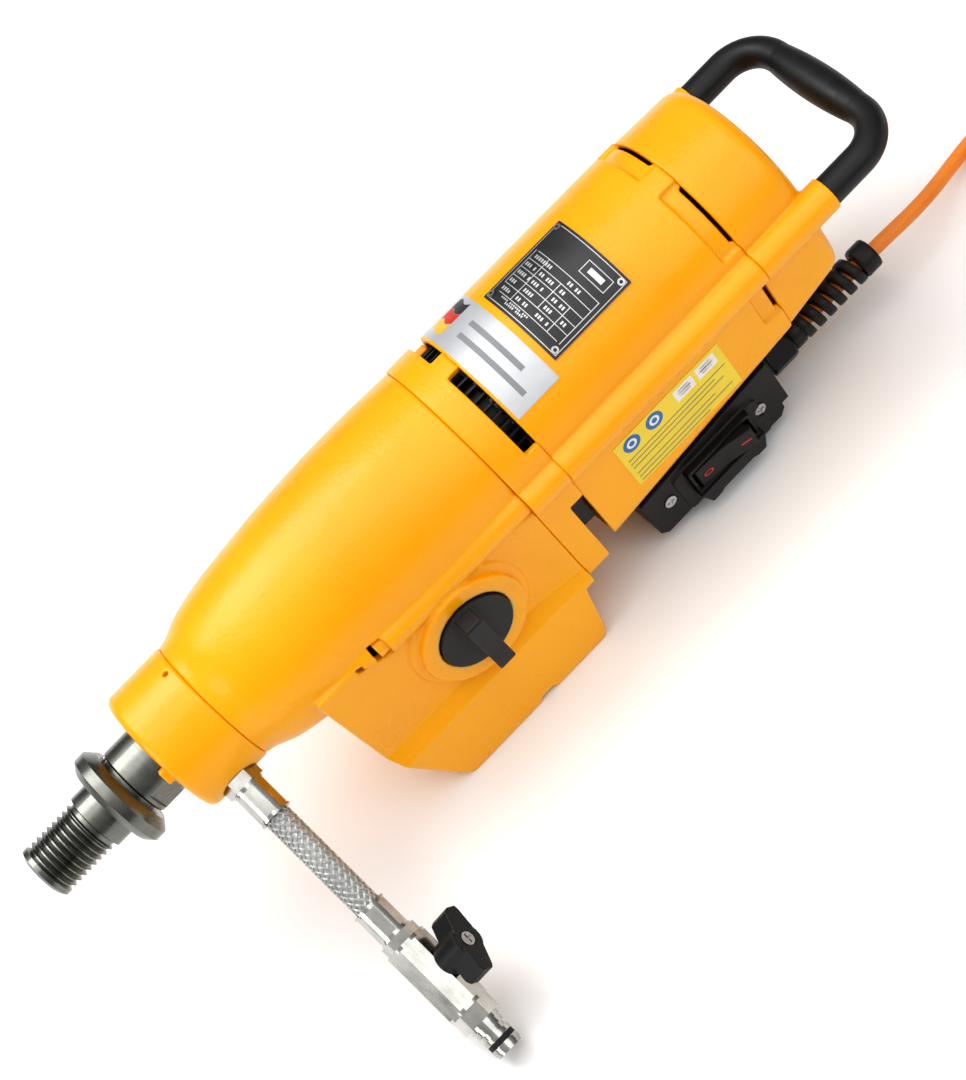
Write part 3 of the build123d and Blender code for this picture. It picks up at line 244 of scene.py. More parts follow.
def spline_curve(name, points, diameter):
    curve = bpy.data.curves.new(name, "CURVE")
    curve.dimensions = "3D"
    spline = curve.splines.new("NURBS")
    spline.points.add(len(points) - 1)
    for point, co in zip(spline.points, points):
        point.co = (*co, 1.0)
        point.radius = POINT_RADIUS
    spline.order_u = 3
    spline.use_endpoint_u = True
    spline.resolution_u = 6
    curve.bevel_depth = diameter / 2 / POINT_RADIUS
    curve.bevel_resolution = 6
    curve.use_fill_caps = True
    return curve


lead_curve = spline_curve("mains_lead", LEAD + coil_points() + TAIL, CABLE_D)
mains_lead = add_object("mains_lead", lead_curve, "root", "orange_cable", ["mains_cable", "cable_coil"])


PLUG_X, PLUG_Y, PLUG_Z = 0.508, -0.177, 0.019    # start of the plug's neck; it points along -Y
PLUG_LENGTH, PLUG_R, NECK_BORE = 40.0, 18.4, 4.25
PIN_SPREAD, PIN_R = 9.5, 2.4
GRIP = (19.0, 27.0)                 # fluted part of the shell, in mm from the neck's start
FLUTES, FLUTE_DEPTH = 18, 0.55


def make_plug():
    """Moulded two-pin plug: ribbed neck, fluted grip and a flat front with a recessed edge."""
    steps = 72
    neck = [(0.0, 4.3), (0.0, 6.3)]
    for i in range(5):
        base, swell = 1.0 + 3.0 * i, 0.3 * i
        neck += [(base + along, r + swell) for along, r in ((0, 7.0), (1.7, 7.2), (1.9, 6.2), (2.8, 6.4))]
    shell = [(16.5, 11.5), (18.5, 14.6), (21.5, 16.4), (25.5, 17.6), (27.5, 17.9), (28.0, PLUG_R),
             (38.6, PLUG_R), (39.6, 17.9), (PLUG_LENGTH, 16.9), (PLUG_LENGTH, 4.3)]

    def ring(along, radius_at):
        angles = [2 * math.pi * i / steps for i in range(steps)]
        return [(PLUG_X + radius_at(a) * MM * math.cos(a), PLUG_Y - along * MM,
                 PLUG_Z + radius_at(a) * MM * math.sin(a)) for a in angles]

    rings = []
    for along, r in neck + shell:
        depth = FLUTE_DEPTH if GRIP[0] < along < GRIP[1] else 0.0
        rings.append(ring(along, lambda a: r - depth * max(0.0, math.cos(FLUTES * a))))
    build = Build()
    build.rings(rings, capped=False)
    build.rings([ring(along, lambda a: NECK_BORE) for along in (PLUG_LENGTH, 0.0)], capped=False)
    build.lathe((PLUG_X, PLUG_Y - 0.006, PLUG_Z), (0, -1, 0), [(0, 4.3 * MM), (33.6 * MM, 4.3 * MM)], 36)
    plug = add_object("plug_body", build.mesh("plug_body"), "root", "black_rubber", ["mains_plug"])
    return sharpened(plug, 40)


def make_plug_pins():
    """Two round pins, and the earth contacts let into the plug's rim."""
    build = Build()
    pin = [(0, PIN_R), (15.5, PIN_R), (17.6, 2.1), (18.7, 1.3), (19.0, 0.4)]
    for dx in (-PIN_SPREAD, PIN_SPREAD):
        base = (PLUG_X + dx * MM, PLUG_Y - 0.0395, PLUG_Z)
        build.lathe(base, (0, -1, 0), [(d * MM, r * MM) for d, r in pin], 24)
    strip = ((-2, 0), (2, 0), (2, -10.2), (-2, -10.2))
    for side in (-1, 1):
        base = Vector((PLUG_X, PLUG_Y - 0.0295, PLUG_Z + side * 17.6 * MM))
        build.rings([[base + Vector((dx, dy, side * dz)) * MM for dx, dy in strip] for dz in (-1, 1)])
    return sharpened(add_object("plug_pins", build.mesh("plug_pins"), "root", "nickel_brass"), 35)


def make_cable_tie():
    """Hook-and-loop strap round the wound lead, opposite the end where the lead comes in."""
    # round the stack of turns: (radius from the coil's middle, height), in mm
    hull = [(36.2, 0.5), (54, 0.35), (72.0, 0.6), (72.9, 3.6), (71.6, 8.6), (68.0, 14.8), (64.6, 22.4),
            (60.4, 29.4), (57.6, 33.6), (53.9, 35.2), (50.2, 33.6), (46.0, 27.6), (42.0, 19.0), (37.6, 11.6),
            (35.6, 5.2)]
    thick, across_strap = 0.9, [-7.0, -6.4, -3, 0, 3, 6.4, 7.0]
    place = math.radians(205)
    middle = Vector((COIL_X, COIL_Y, 0))
    radial = Vector((math.sin(place), math.cos(place), 0))
    tangent = Vector((math.cos(place), -math.sin(place), 0))
    dense = []
    for (r0, z0), (r1, z1) in zip(hull, hull[1:] + hull[:1]):
        for k in range(3):
            dense.append((r0 + (r1 - r0) * k / 3, z0 + (z1 - z0) * k / 3))
    middle_r = sum(r for r, _ in hull) / len(hull)
    middle_z = sum(z for _, z in hull) / len(hull)
    rings = []
    for r, z in dense:
        out = Vector((r - middle_r, z - middle_z)).normalized()
        section = [(r, z, w) for w in across_strap]
        section += [(r - out.x * thick, max(0.1, z - out.y * thick), w) for w in reversed(across_strap)]
        rings.append([middle + radial * rr * MM + tangent * w * MM + Vector((0, 0, zz * MM))
                      for rr, zz, w in section])
    build = Build()
    build.rings(rings, closed=True)
    return sharpened(add_object("cable_tie", build.mesh("cable_tie"), "root", "black_rubber"), 50)


plug_body = make_plug()
plug_pins = make_plug_pins()
cable_tie = make_cable_tie()


# ---------------------------------------------------------------- bend relief
RELIEF_PITCH, RELIEF_TURNS, RELIEF_X0 = 7.9, 5.75, 233.0


def make_bend_relief():
    """Spiral bend protection: collar at the nut, open coil, and an end ring, as one moulding."""
    axis_start = Vector((0, CABLE_EXIT[1], CABLE_EXIT[2]))
    collar = [(225.0, 4.5), (225.0, 8.2), (225.8, 8.9), (232.6, 8.9), (233.6, 8.3), (234.0, 7.4),
              (234.0, 4.5)]
    end_ring = [(279.6, 5.6), (279.4, 7.6), (280.0, 8.8), (281.4, 9.3), (289.4, 9.3), (290.6, 8.9),
                (291.0, 8.0), (290.6, 6.6), (288.4, 5.3)]
    build = Build()
    for profile in (collar, end_ring):
        build.lathe(axis_start, (1, 0, 0), [(x * MM, r * MM) for x, r in profile], 48, closed=True)
    # a turn's section: (radius, offset along the lead); it leans out towards the free end
    section = [(4.9, -2.6), (8.6, -2.85), (9.2, -2.3), (9.3, 0.0), (9.2, 2.3), (8.6, 2.85), (4.9, 2.6)]
    lean = 0.10
    count = int(RELIEF_TURNS * 40)
    rings = []
    for i in range(count + 1):
        turn = RELIEF_TURNS * i / count
        a = 2 * math.pi * turn + 0.6
        x = RELIEF_X0 + RELIEF_PITCH * turn
        rings.append([axis_start + Vector((x + dx + lean * (r - 5), math.cos(a) * r, math.sin(a) * r)) * MM
                      for r, dx in section])
    build.rings(rings)
    relief = add_object("bend_relief", build.mesh("bend_relief"), "root", "black_plastic", ["strain_relief"])
    return sharpened(relief, 50)


make_bend_relief()


def make_ring():
    """Release ring on the spindle's neck: flat rim between two chamfers."""
    profile = [(-196.5, 17.05), (-196.5, 25.0), (-193.4, 28.7), (-192.8, 29.2), (-187.2, 29.2),
               (-186.6, 28.8), (-182.5, 24.0), (-182.5, 17.05)]
    build = Build()
    build.lathe((0, 0, AXIS_Z), (1, 0, 0), [(x * MM, r * MM) for x, r in profile], 96, closed=True)
    ring = add_object("ring_turned", build.mesh("ring_turned"), BODY_OF["release_ring"],
                      SLOT_OF["release_ring"], ["release_ring"])
    return sharpened(ring, 30)


make_ring()

# ---------------------------------------------------------------- braided hose
HOSE_START = Vector((-0.141, 0, AXIS_Z))
HOSE_FALL = math.radians(30.8)
HOSE_DIR = Vector((0, -math.cos(HOSE_FALL), -math.sin(HOSE_FALL)))
HOSE_ACROSS = Vector((1, 0, 0))
HOSE_UP = HOSE_DIR.cross(HOSE_ACROSS)


def hose_point(distance_mm, radius_mm, angle):
    out = HOSE_ACROSS * math.cos(angle) + HOSE_UP * math.sin(angle)
    return HOSE_START + (HOSE_DIR * distance_mm + out * radius_mm) * MM


def make_hose():
    """Woven wire braid over a clear hose: strands of three wires that pass over and under each other."""
    core_r, weave_r, wire_r = 6.85, 7.22, 0.2
    core = Build()
    core.lathe(HOSE_START, HOSE_DIR, [(44 * MM, core_r * MM), (150 * MM, core_r * MM)], 40)
    add_object("hose_core", core.mesh("hose_core"), "root", "braid", ["braided_hose"])
    carriers, wires, wire_angle = 12, 3, 0.068
    twist = 0.118                   # radians round the hose per mm along it
    start, end, steps = 62.5, 132.0, 96
    build = Build()
    for sense in (1, -1):
        for i in range(carriers):
            for w in range(wires):
                offset = (w - (wires - 1) / 2) * wire_angle
                points = []
                for k in range(steps + 1):
                    d = start + (end - start) * k / steps
                    wave = math.cos(carriers * twist * (d - start))
                    r = weave_r + sense * wire_r * wave
                    a = sense * (twist * (d - start)) + 2 * math.pi * i / carriers + offset
                    points.append(hose_point(d, r, a))
                build.tube(points, wire_r * MM, 5)
    add_object("hose_braid", build.mesh("hose_braid"), "root", "braid")


make_hose()

# ---------------------------------------------------------------- castings and mouldings with soft edges
# node: (piece name, voxel in mm, rounds of smoothing, share of faces kept)
SOFTENED = {
    "gearbox_housing": ("gearbox_casting", 0.9, 6, 0.30),
    "intermediate_flange": ("flange_casting", 0.7, 4, 0.35),
    "motor_housing": ("motor_casting", 0.8, 5, 0.30),
    "end_cap": ("cap_casting", 0.8, 5, 0.35),
    "water_collar": ("collar_casting", 0.6, 4, 0.35),
    "valve_knob": ("knob_moulding", 0.35, 8, 0.5),
    "selector_knob": ("selector_moulding", 0.4, 3, 0.4),
    "switch_box": ("box_moulding", 0.6, 4, 0.4),
    "switch_cover": ("cover_moulding", 0.5, 3, 0.4),
    "rocker_frame": ("bezel_moulding", 0.4, 3, 0.4),
    "rocker_switch": ("rocker_moulding", 0.35, 3, 0.4),
}


# notches at the lower ends of the gearbox's screw columns: (from, to) in mm along X, s and b
NOTCHES = [((-48.5, -39.5), (50.0, 61.0), (-4.5, 8.0)), ((-48.5, -39.5), (-61.0, -50.0), (-4.5, 8.0))]


def make_cutters():
    build = Build()
    for (x0, x1), (s0, s1), (b0, b1) in NOTCHES:
        square = [(s0, b0), (s1, b0), (s1, b1), (s0, b1)]
        build.rings([[Vector((x * MM, -s * MM, AXIS_Z - b * MM)) for s, b in square] for x in (x0, x1)])
    cutters = bpy.data.objects.new("notch_cutters", build.mesh("notch_cutters", smooth=False))
    bpy.context.scene.collection.objects.link(cutters)
    return cutters


def soften(node, name, voxel, rounds, keep, cutters=None):
    """Copy of a CAD node in fine even faces, smoothed so that its edges are rounded as cast or moulded."""
    obj = bpy.data.objects.new(name, NODES[node].data.copy())
    bpy.context.scene.collection.objects.link(obj)
    obj.data.materials.clear()
    remesh = obj.modifiers.new("remesh", "REMESH")
    remesh.mode, remesh.voxel_size, remesh.use_smooth_shade = "VOXEL", voxel * MM, True
    if cutters:
        cut = obj.modifiers.new("cut", "BOOLEAN")
        cut.operation, cut.solver, cut.object = "DIFFERENCE", "FAST", cutters
    smooth = obj.modifiers.new("smooth", "SMOOTH")
    smooth.factor, smooth.iterations = 0.5, rounds
    fewer = obj.modifiers.new("fewer", "DECIMATE")
    fewer.ratio = keep
    baked(obj)
    for face in obj.data.polygons:
        face.use_smooth = True
    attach(obj, BODY_OF[node])
    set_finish(obj, SLOT_OF[node])
    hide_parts(node)
    return obj


notch_cutters = make_cutters()
for soft_node, how in SOFTENED.items():
    soften(soft_node, *how, notch_cutters if soft_node == "gearbox_housing" else None)
bpy.data.objects.remove(notch_cutters)


# ---------------------------------------------------------------- printed plates and labels
def surface_tree(node):
    mesh, place = NODES[node].data, NODES[node].matrix_world
    corners = [place @ v.co for v in mesh.vertices]
    return BVHTree.FromPolygons(corners, [tuple(p.vertices) for p in mesh.polygons])


class Print:
    """Thin printed shapes laid on a plate or label; u runs along the unit, v round it or across its side."""

    def __init__(self, node, ray, lift=0.04):
        self.tree, self.ray, self.lift, self.build = surface_tree(node), ray, lift, Build()
        self.body = BODY_OF[node]

    def point(self, u, v):
        origin, direction = self.ray(u, v)
        hit, normal, _, _ = self.tree.ray_cast(origin, direction)
        if hit is None:
            return None
        return hit - direction * self.lift * MM

    def patch(self, outline_rows):
        """Faces over rows of (u, v) points; nothing is made where a point is off the plate."""
        rows = [[self.point(u, v) for u, v in row] for row in outline_rows]
        if any(p is None for row in rows for p in row):
            return
        first, count = len(self.build.verts), len(rows[0])
        for row in rows:
            self.build.verts += row
        for i in range(len(rows) - 1):
            for j in range(count - 1):
                a = first + i * count + j
                self.build.faces.append((a, a + 1, a + count + 1, a + count))

    def bar(self, u0, u1, v0, v1, steps=8):
        self.patch([[(u0 + (u1 - u0) * j, v0 + (v1 - v0) * i / steps) for j in (0.0, 0.5, 1.0)]
                    for i in range(steps + 1)])

    def frame(self, u0, u1, v0, v1, du, dv):
        self.bar(u0, u1, v0, v0 + dv, 2)
        self.bar(u0, u1, v1 - dv, v1, 2)
        self.bar(u0, u0 + du, v0 + dv, v1 - dv, 16)
        self.bar(u1 - du, u1, v0 + dv, v1 - dv, 16)

    def word(self, u, v0, marks, width=1.15, gap=0.75, height=2.1):
        """Row of small blocks in place of characters: # is a block, - a shorter one."""
        for i, mark in enumerate(marks):
            if mark != " ":
                v = v0 + i * (width + gap)
                self.bar(u, u + height * (0.8 if mark == "-" else 1.0), v, v + width, 1)

    def stripe(self, u0, u1, v0, v1, swing, steps=24):
        """Band with wavy edges."""
        rows = []
        for i in range(steps + 1):
            t = i / steps
            shift = swing * math.sin(2.2 * math.pi * t)
            rows.append([(u0 + shift + (u1 - u0) * j, v0 + (v1 - v0) * t) for j in (0.0, 0.5, 1.0)])
        self.patch(rows)

    def disc(self, u, v, ru, rv, hole=0.0, steps=32):
        """Round or oval patch; hole is the share of its radius left open."""
        shares = (max(hole, 0.02), 0.6 + hole * 0.4, 1.0)
        rows = []
        for i in range(steps + 1):
            a = 2 * math.pi * i / steps
            rows.append([(u + ru * t * math.cos(a), v + rv * t * math.sin(a)) for t in shares])
        self.patch(rows)

    def piece(self, name, slot_name):
        mesh = bpy.data.meshes.new(name)
        mesh.from_pydata([tuple(v) for v in self.build.verts], [], self.build.faces)
        for face in mesh.polygons:
            face.use_smooth = True
        return add_object(name, mesh, self.body, slot_name)


def round_ray(x_mm, degrees):
    """Inward ray at a station and an angle from the front towards the switch side."""
    a = math.radians(degrees)
    out = Vector((0, -math.sin(a), math.cos(a)))
    return Vector((x_mm * MM, 0, AXIS_Z)) + out * 0.08, -out


def side_ray(x_mm, b_mm):
    return Vector((x_mm * MM, -0.09, AXIS_Z - b_mm * MM)), Vector((0, 1, 0))


# nameplate: stations in mm along the unit, angles in degrees round it
RIVET_X, RIVET_A = (122.5, 169.5), (-11.0, 41.0)
ROW_X, ROW_STEP, LINE = 126.0, 5.6, 0.4    # first ruled line, spacing of the rows, width of a line
WORDS = ((0, -9.0, "###-"), (0, 4.0, "## ##"), (0, 20.0, "### #"), (1, -9.0, "###"), (1, 4.0, "####"),
         (1, 20.5, "###"), (1, 33.0, "##"), (2, -9.0, "#### #"), (2, 4.0, "### #"), (2, 20.5, "## ##"),
         (3, -9.0, "### #"), (3, 4.0, "## ###"), (3, 20.5, "##"), (4, -7.5, "########"), (4, 20.5, "## ##"))
# safety label: stations in mm along the unit, and mm back from the axis
SIGN_X, SIGN_B, SIGN_R = (120.0, 136.5), 31.2, 5.6
PICTURE_X, PICTURE_W = (152.0, 168.0), 13.4


def make_nameplate_print():
    plate = Print("nameplate", round_ray)
    plate.frame(120.4, 171.6, -13.6, 43.6, 0.45, 0.5)
    for i in range(6):
        x = ROW_X + ROW_STEP * i
        plate.bar(x, x + LINE, -8.5 if i in (0, 5) else -10.5, 40.5 if i else 38.5, 20)
    for a, first, last in ((2, 0, 5), (18, 1, 4), (31, 0, 3)):
        plate.bar(ROW_X + ROW_STEP * first, ROW_X + LINE + ROW_STEP * last, a - 0.25, a + 0.25, 3)
    for a in (-10.5, 40.5):
        plate.bar(ROW_X if a > 0 else ROW_X + ROW_STEP, 154.4, a - 0.25, a + 0.25, 3)
    plate.frame(159.0, 167.0, 20.0, 38.5, 0.4, 0.5)
    plate.bar(161.4, 164.6, 24.0, 34.5, 4)
    for row, start, marks in WORDS:
        plate.word(127.9 + ROW_STEP * row, start, marks)
    plate.word(122.7, 1.0, "##### ####", 0.9, 0.6, 1.2)
    plate.word(124.3, -4.0, "#### ###### ###", 0.9, 0.6, 1.0)
    plate.piece("nameplate_print", "silver_label")


def make_label_prints():
    for name, slot_name, u in (("label_dark", "black_plate", 104.6), ("label_red", "orange_cable", 97.6),
                               ("label_gold", "yellow_label", 90.6)):
        band = Print("rating_label", round_ray)
        band.stripe(u, u + 6.8, -37.0, -20.0, 1.1)
        band.piece(name, slot_name)
    # black discs in the middle of the rivet heads: painted shade in place of the shade inside the rivets'
    # hollow centres
    eyes = Print("nameplate_rivets", round_ray)
    for x in RIVET_X:
        for a in RIVET_A:
            eyes.disc(x, a, 0.95, 1.0)
    eyes.piece("rivet_eyes", "black_plate")
    grey = Print("rating_label", round_ray)
    grey.bar(103.2, 106.4, -8.0, 36.0, 20)
    grey.bar(94.8, 98.0, -8.0, 46.0, 20)
    grey.piece("label_grey", "black_plate")


def make_sticker_prints():
    white = Print("safety_label", side_ray, 0.03)
    blue = Print("safety_label", side_ray, 0.03)
    mark = Print("safety_label", side_ray, 0.06)
    lines = Print("safety_label", side_ray, 0.03)
    red_bars = Print("safety_label", side_ray, 0.03)
    for x in SIGN_X:
        blue.disc(x, SIGN_B, SIGN_R, SIGN_R)
        mark.disc(x, SIGN_B, 3.2, 3.2, 0.55)
    for b, short in ((40.0, 0), (43.4, 9), (46.8, 4), (52.0, 13), (55.4, 2), (58.8, 20)):
        lines.bar(112.6, 183.4 - short, b, b + 0.9, 1)
    for x in PICTURE_X:
        white.bar(x, x + PICTURE_W, 26.6, 35.4, 3)
        lines.bar(x + 3.2, x + 10.2, 28.6, 29.3, 1)
        lines.bar(x + 3.2, x + 10.2, 32.7, 33.4, 1)
        red_bars.bar(x + 2.4, x + 11.0, 30.4, 31.6, 1)
    white.piece("sticker_white", "silver_label")
    blue.piece("sticker_blue", "yellow_label")
    mark.piece("sticker_marks", "silver_label")
    lines.piece("sticker_lines", "black_plate")
    red_bars.piece("sticker_red", "orange_cable")


make_nameplate_print()
make_label_prints()
make_sticker_prints()

ROCKER_X, ROCKER_Z = 155.2, 30.0    # middle of the rocker, in mm


def rocker_ray(x_mm, z_mm):
    """Inward ray at a place given from the middle of the rocker."""
    return Vector(((ROCKER_X + x_mm) * MM, -0.09, (ROCKER_Z + z_mm) * MM)), Vector((0, 1, 0))


def make_rocker_marks():
    """Red ring and bar on the two ends of the rocker."""
    marks = Print("rocker_switch", rocker_ray, 0.10)
    marks.disc(-12.6, 0.0, 3.2, 1.7, 0.66)
    marks.bar(9.4, 15.6, -0.65, 0.65, 2)
    marks.piece("rocker_marks", "orange_cable")


make_rocker_marks()


# ---------------------------------------------------------------- materials
class Nodes:
    """Small wrapper for making one node material."""

    def __init__(self, name):
        self.material = bpy.data.materials.new(name)
        self.material.use_nodes = True
        self.tree = self.material.node_tree
        self.shader = self.tree.nodes["Principled BSDF"]
        self.coords = self.add("ShaderNodeTexCoord").outputs["Object"]

    def add(self, kind, **values):
        node = self.tree.nodes.new(kind)
        for key, value in values.items():
            setattr(node, key, value)
        return node

    def link(self, source, target):
        self.tree.links.new(source, target)

    def scaled(self, scale):
        """Object coordinates stretched by a factor on each axis."""
        mapping = self.add("ShaderNodeMapping")
        mapping.inputs["Scale"].default_value = scale
        self.link(self.coords, mapping.inputs["Vector"])
        return mapping.outputs["Vector"]

    def noise(self, scale, detail=3.0, rough=0.5, vector=None):
        node = self.add("ShaderNodeTexNoise")
        node.inputs["Scale"].default_value = scale
        node.inputs["Detail"].default_value = detail
        node.inputs["Roughness"].default_value = rough
        self.link(vector or self.coords, node.inputs["Vector"])
        return node.outputs["Fac"]

    def cells(self, scale, vector=None):
        node = self.add("ShaderNodeTexVoronoi")
        node.inputs["Scale"].default_value = scale
        self.link(vector or self.coords, node.inputs["Vector"])
        return node.outputs["Distance"]

    def waves(self, scale, vector, direction="X", distort=0.0):
        node = self.add("ShaderNodeTexWave", wave_type="BANDS", bands_direction=direction)
        node.inputs["Scale"].default_value = scale
        node.inputs["Distortion"].default_value = distort
        self.link(vector, node.inputs["Vector"])
        return node.outputs["Fac"]

    def remap(self, value, low, high, to_low=0.0, to_high=1.0):
        node = self.add("ShaderNodeMapRange")
        for key, number in (("From Min", low), ("From Max", high), ("To Min", to_low), ("To Max", to_high)):
            node.inputs[key].default_value = number
        self.link(value, node.inputs["Value"])
        return node.outputs["Result"]

    def math(self, operation, a, b):
        node = self.add("ShaderNodeMath", operation=operation)
        for socket, value in zip(node.inputs, (a, b)):
            if isinstance(value, (int, float)):
                socket.default_value = value
            else:
                self.link(value, socket)
        return node.outputs[0]

    def mix(self, factor, a, b):
        node = self.add("ShaderNodeMix", data_type="RGBA")
        self.link(factor, node.inputs["Factor"])
        for socket, value in ((node.inputs[6], a), (node.inputs[7], b)):
            if isinstance(value, tuple):
                socket.default_value = (*value, 1.0)
            else:
                self.link(value, socket)
        return node.outputs[2]

    def bump(self, height, distance_mm, strength=1.0, under=None):
        node = self.add("ShaderNodeBump")
        node.inputs["Distance"].default_value = distance_mm * MM
        node.inputs["Strength"].default_value = strength
        self.link(height, node.inputs["Height"])
        if under:
            self.link(under, node.inputs["Normal"])
        return node.outputs["Normal"]

    def edges(self, low=0.53, high=0.60):
        """1 on raised edges, 0 elsewhere; with low above high, 1 in hollows."""
        return self.remap(self.add("ShaderNodeNewGeometry").outputs["Pointiness"], low, high)

    def near(self, point, radius, fade):
        """1 within a radius of a point, fading to 0."""
        node = self.add("ShaderNodeVectorMath", operation="DISTANCE")
        self.link(self.coords, node.inputs[0])
        node.inputs[1].default_value = point
        return self.remap(node.outputs["Value"], radius + fade, radius, 0.0, 1.0)

    def finish(self, colour=None, rough=None, metal=None, normal=None, **fixed):
        names = {"colour": "Base Color", "rough": "Roughness", "metal": "Metallic"}
        for key, value in (("colour", colour), ("rough", rough), ("metal", metal)):
            if value is None:
                continue
            socket = self.shader.inputs[names[key]]
            if isinstance(value, tuple):
                socket.default_value = (*value, 1.0)
            elif isinstance(value, (int, float)):
                socket.default_value = value
            else:
                self.link(value, socket)
        if normal:
            self.link(normal, self.shader.inputs["Normal"])
        for key, value in fixed.items():
            self.shader.inputs[key.replace("_", " ")].default_value = value
        return self.material


SELECTOR_AT = (-0.003, -0.0615, 0.0874)    # middle of the gear selector's face


def paint(name="yellow_enamel"):
    """Thick yellow enamel over a cast surface: orange peel, soft casting waves, paint rubbed round the gear
    selector, a painted highlight on raised edges and painted shade in hollows.
    """
    n = Nodes(name)
    broad = n.noise(9, 3)
    fine = n.noise(420, 2, 0.6)
    base = n.mix(n.remap(broad, 0.35, 0.68), (0.92, 0.375, 0.0), (0.97, 0.43, 0.001))
    specks = n.remap(n.noise(900, 2, 0.7), 0.66, 0.74)
    base = n.mix(n.math("MULTIPLY", specks, 0.35), base, (0.70, 0.26, 0.004))
    # lighter yellow in patches on raised edges: a painted highlight
    edge = n.math("MULTIPLY", n.edges(0.54, 0.64), n.remap(n.noise(160, 4, 0.7), 0.52, 0.66))
    base = n.mix(n.math("MULTIPLY", edge, 0.5), base, (1.0, 0.62, 0.08))
    # darker brown in patches in hollows and recesses: painted shade
    hollow_shade = n.math("MULTIPLY", n.edges(0.47, 0.40), n.remap(n.noise(60, 4), 0.35, 0.7))
    base = n.mix(n.math("MULTIPLY", hollow_shade, 0.45), base, (0.42, 0.20, 0.02))
    # rubbed paint round the gear selector
    rub = n.math("MULTIPLY", n.near(SELECTOR_AT, 0.0232, 0.0022),
                 n.remap(n.noise(170, 5, 0.75), 0.46, 0.52))
    base = n.mix(n.math("MULTIPLY", rub, 0.85), base, (0.62, 0.50, 0.13))
    rough = n.remap(n.noise(35, 4), 0.3, 0.7, 0.24, 0.37)
    normal = n.bump(n.noise(95, 3, 0.55), 0.5, 0.6)
    normal = n.bump(fine, 0.2, 0.8, normal)
    return n.finish(base, rough, 0.0, normal, Coat_Weight=0.08, Coat_Roughness=0.2, IOR=1.4)


def plain_metal(name, light, dark, rough, streak=(1, 1, 1), streak_scale=600, bump_mm=0.02):
    """Metal with machining streaks and a cloudy tone."""
    n = Nodes(name)
    base = n.mix(n.remap(n.noise(55, 4), 0.3, 0.7), dark, light)
    lines = n.noise(streak_scale, 2, 0.5, n.scaled(streak))
    base = n.mix(n.remap(lines, 0.35, 0.75, 0.0, 0.35), base, tuple(0.55 * c for c in dark))
    roughness = n.remap(lines, 0.3, 0.7, rough * 0.8, min(1.0, rough * 1.3))
    return n.finish(base, roughness, 1.0, n.bump(lines, bump_mm, 0.6))


def turned_steel(name, light, dark, rough):
    """Steel turned about the unit's axis: fine tool lines across X, and faint clouds."""
    n = Nodes(name)
    lines = n.noise(2600, 2, 0.5, n.scaled((1.0, 0.004, 0.004)))
    cloud = n.noise(70, 4, 0.6)
    base = n.mix(n.remap(cloud, 0.2, 0.8), dark, light)
    base = n.mix(n.remap(lines, 0.3, 0.8, 0.0, 0.4), base, tuple(0.6 * c for c in dark))
    rough_out = n.remap(n.noise(90, 3), 0.3, 0.7, rough * 0.85, rough * 1.25)
    return n.finish(base, rough_out, 1.0, n.bump(lines, 0.03, 0.5))


def moulded(name, colour, rough=0.5, grain=1500, depth=0.035, lighter=1.9, spec=0.5):
    """Moulded plastic or rubber with spark-eroded grain, faint wipe marks and dull dust."""
    n = Nodes(name)
    wipes = n.noise(40, 4, 0.6, n.scaled((1.0, 2.6, 1.0)))
    dust = tuple(min(1.0, lighter * c + 0.004) for c in colour)
    base = n.mix(n.remap(wipes, 0.40, 0.8, 0.0, 0.6), colour, dust)
    texture = n.cells(grain)
    base = n.mix(n.remap(texture, 0.1, 0.6, 0.0, 0.2), base, tuple(0.6 * c for c in colour))
    roughness = n.remap(wipes, 0.3, 0.7, rough * 0.88, min(1.0, rough * 1.18))
    normal = n.bump(texture, depth, 0.6)
    normal = n.bump(n.noise(grain * 0.18, 3), depth * 1.6, 0.35, normal)
    return n.finish(base, roughness, 0.0, normal, Specular_IOR_Level=spec)


def cable_jacket(name="orange_jacket"):
    """Satin polyurethane jacket: slight waviness of the cores under it, scuffs, dust."""
    n = Nodes(name)
    scuff = n.remap(n.noise(130, 5, 0.65, n.scaled((0.35, 1, 1))), 0.55, 0.75)
    base = n.mix(n.remap(n.noise(24, 3), 0.3, 0.7), (0.78, 0.225, 0.026), (0.88, 0.285, 0.036))
    base = n.mix(n.math("MULTIPLY", scuff, 0.35), base, (0.55, 0.20, 0.06))
    normal = n.bump(n.noise(60, 2), 0.3, 0.4)
    normal = n.bump(n.noise(1700, 2), 0.02, 0.6, normal)
    return n.finish(base, n.remap(n.noise(90, 4), 0.3, 0.7, 0.36, 0.55), 0.0, normal, Specular_IOR_Level=0.45)


def printed(name, colour, second, rough, metal=0.0):
    """Printed film or lacquered sheet: faint dot screen, handling marks."""
    n = Nodes(name)
    base = n.mix(n.remap(n.noise(30, 4), 0.3, 0.7), colour, second)
    dots = n.cells(2600)
    base = n.mix(n.remap(dots, 0.35, 0.7, 0.0, 0.12), base, tuple(0.6 * c for c in colour))
    marks = n.noise(160, 5, 0.6, n.scaled((1, 0.2, 0.2)))
    return n.finish(base, n.remap(marks, 0.3, 0.75, rough * 0.8, min(1.0, rough * 1.35)), metal,
                    n.bump(marks, 0.015, 0.5))


def sheet_stack(name="steel_laminations"):
    n = Nodes(name)
    lines = n.waves(900, n.coords, "X")
    base = n.mix(lines, (0.16, 0.16, 0.17), (0.30, 0.30, 0.31))
    return n.finish(base, n.remap(n.noise(90), 0.3, 0.7, 0.4, 0.6), 0.9, n.bump(lines, 0.05, 0.8))


